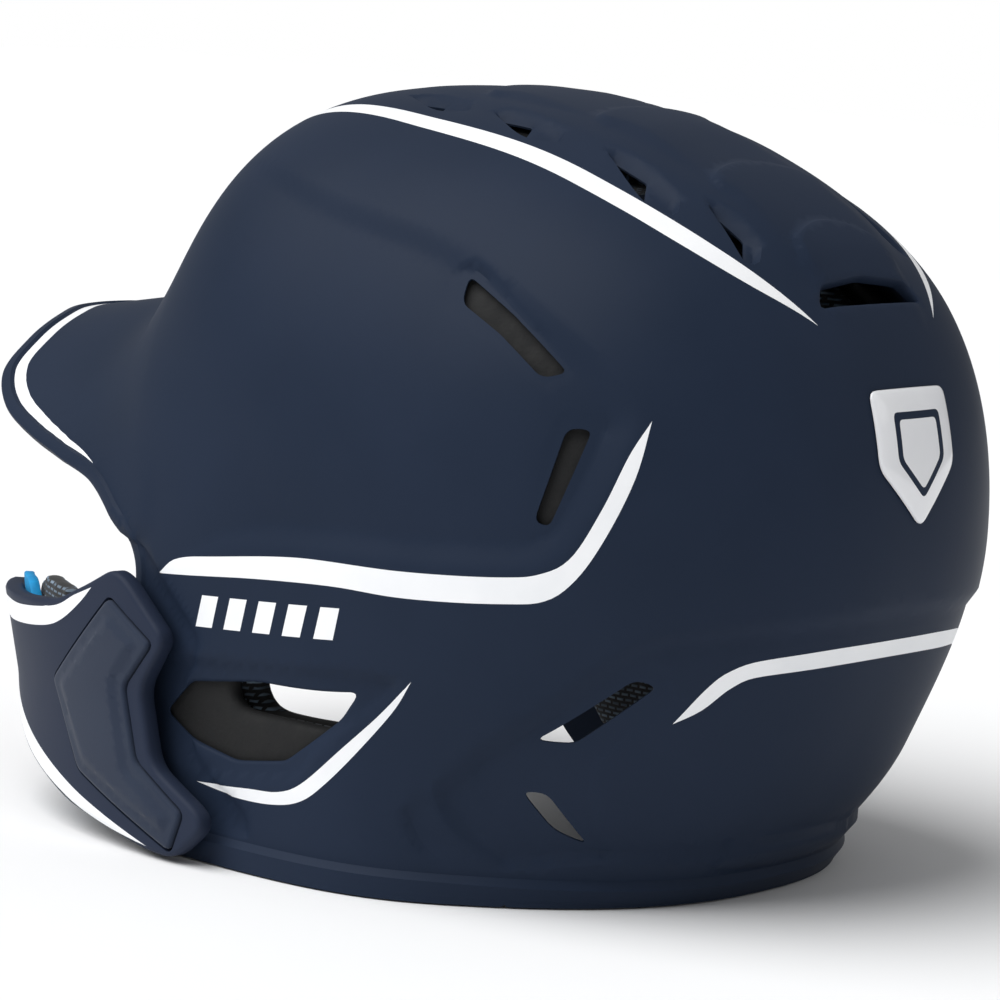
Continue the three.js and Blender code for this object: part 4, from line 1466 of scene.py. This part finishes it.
class HELMET_OT_guard(HelmetStep, bpy.types.Operator):
    """Build the jaw guard with its blue foam strip"""

    bl_idname = "helmet.guard"
    bl_label = "Build Jaw Guard"
    makers = (build_guard, build_guard_foam)


class HELMET_OT_cover(HelmetStep, bpy.types.Operator):
    """Build the rubber cover of the jaw guard"""

    bl_idname = "helmet.cover"
    bl_label = "Build Rubber Cover"
    makers = (build_cover,)


class HELMET_OT_screws(HelmetStep, bpy.types.Operator):
    """Build the guard's screws and finish their nuts"""

    bl_idname = "helmet.screws"
    bl_label = "Build Screws"
    makers = (build_screws,)


class HELMET_OT_foams(HelmetStep, bpy.types.Operator):
    """Build the hard foam blocks of the liner"""

    bl_idname = "helmet.foams"
    bl_label = "Build Foam Blocks"
    makers = (build_foams,)


class HELMET_OT_cushions(HelmetStep, bpy.types.Operator):
    """Build the fabric covered cushions of the liner and the guard"""

    bl_idname = "helmet.cushions"
    bl_label = "Build Cushions"
    makers = (build_liner,)


class HELMET_OT_stage(HelmetStep, bpy.types.Operator):
    """Build the floor, the lights and the camera"""

    bl_idname = "helmet.stage"
    bl_label = "Build Studio"
    makers = (build_stage,)


class HELMET_PT_panel(bpy.types.Panel):
    """Lists the steps that build the helmet"""

    bl_label = "Batting Helmet"
    bl_idname = "HELMET_PT_panel"
    bl_space_type = "VIEW_3D"
    bl_region_type = "UI"
    bl_category = "Helmet"

    def draw(self, context):
        for name, group in GROUPS.items():
            for key in group.__annotations__:
                self.layout.prop(getattr(context.scene, name), key)
        for operator in OPERATORS:
            self.layout.operator(operator.bl_idname)


OPERATORS = (
    HELMET_OT_shell,
    HELMET_OT_badge,
    HELMET_OT_guard,
    HELMET_OT_cover,
    HELMET_OT_screws,
    HELMET_OT_foams,
    HELMET_OT_cushions,
    HELMET_OT_stage,
)
GROUPS = {
    "helmet_shell": HelmetShellSettings,
    "helmet_liner": HelmetLinerSettings,
    "helmet_stage": HelmetStageSettings,
}


def register():
    for name, group in GROUPS.items():
        bpy.utils.register_class(group)
        setattr(bpy.types.Scene, name, bpy.props.PointerProperty(type=group))
    for operator in OPERATORS:
        bpy.utils.register_class(operator)
    bpy.utils.register_class(HELMET_PT_panel)


def unregister():
    bpy.utils.unregister_class(HELMET_PT_panel)
    for operator in reversed(OPERATORS):
        bpy.utils.unregister_class(operator)
    for name, group in GROUPS.items():
        delattr(bpy.types.Scene, name)
        bpy.utils.unregister_class(group)


def main():
    register()
    MATERIALS.update(make_materials())
    for operator in OPERATORS:
        group, name = operator.bl_idname.split(".")
        getattr(getattr(bpy.ops, group), name)()


if __name__ == "__main__":
    main()
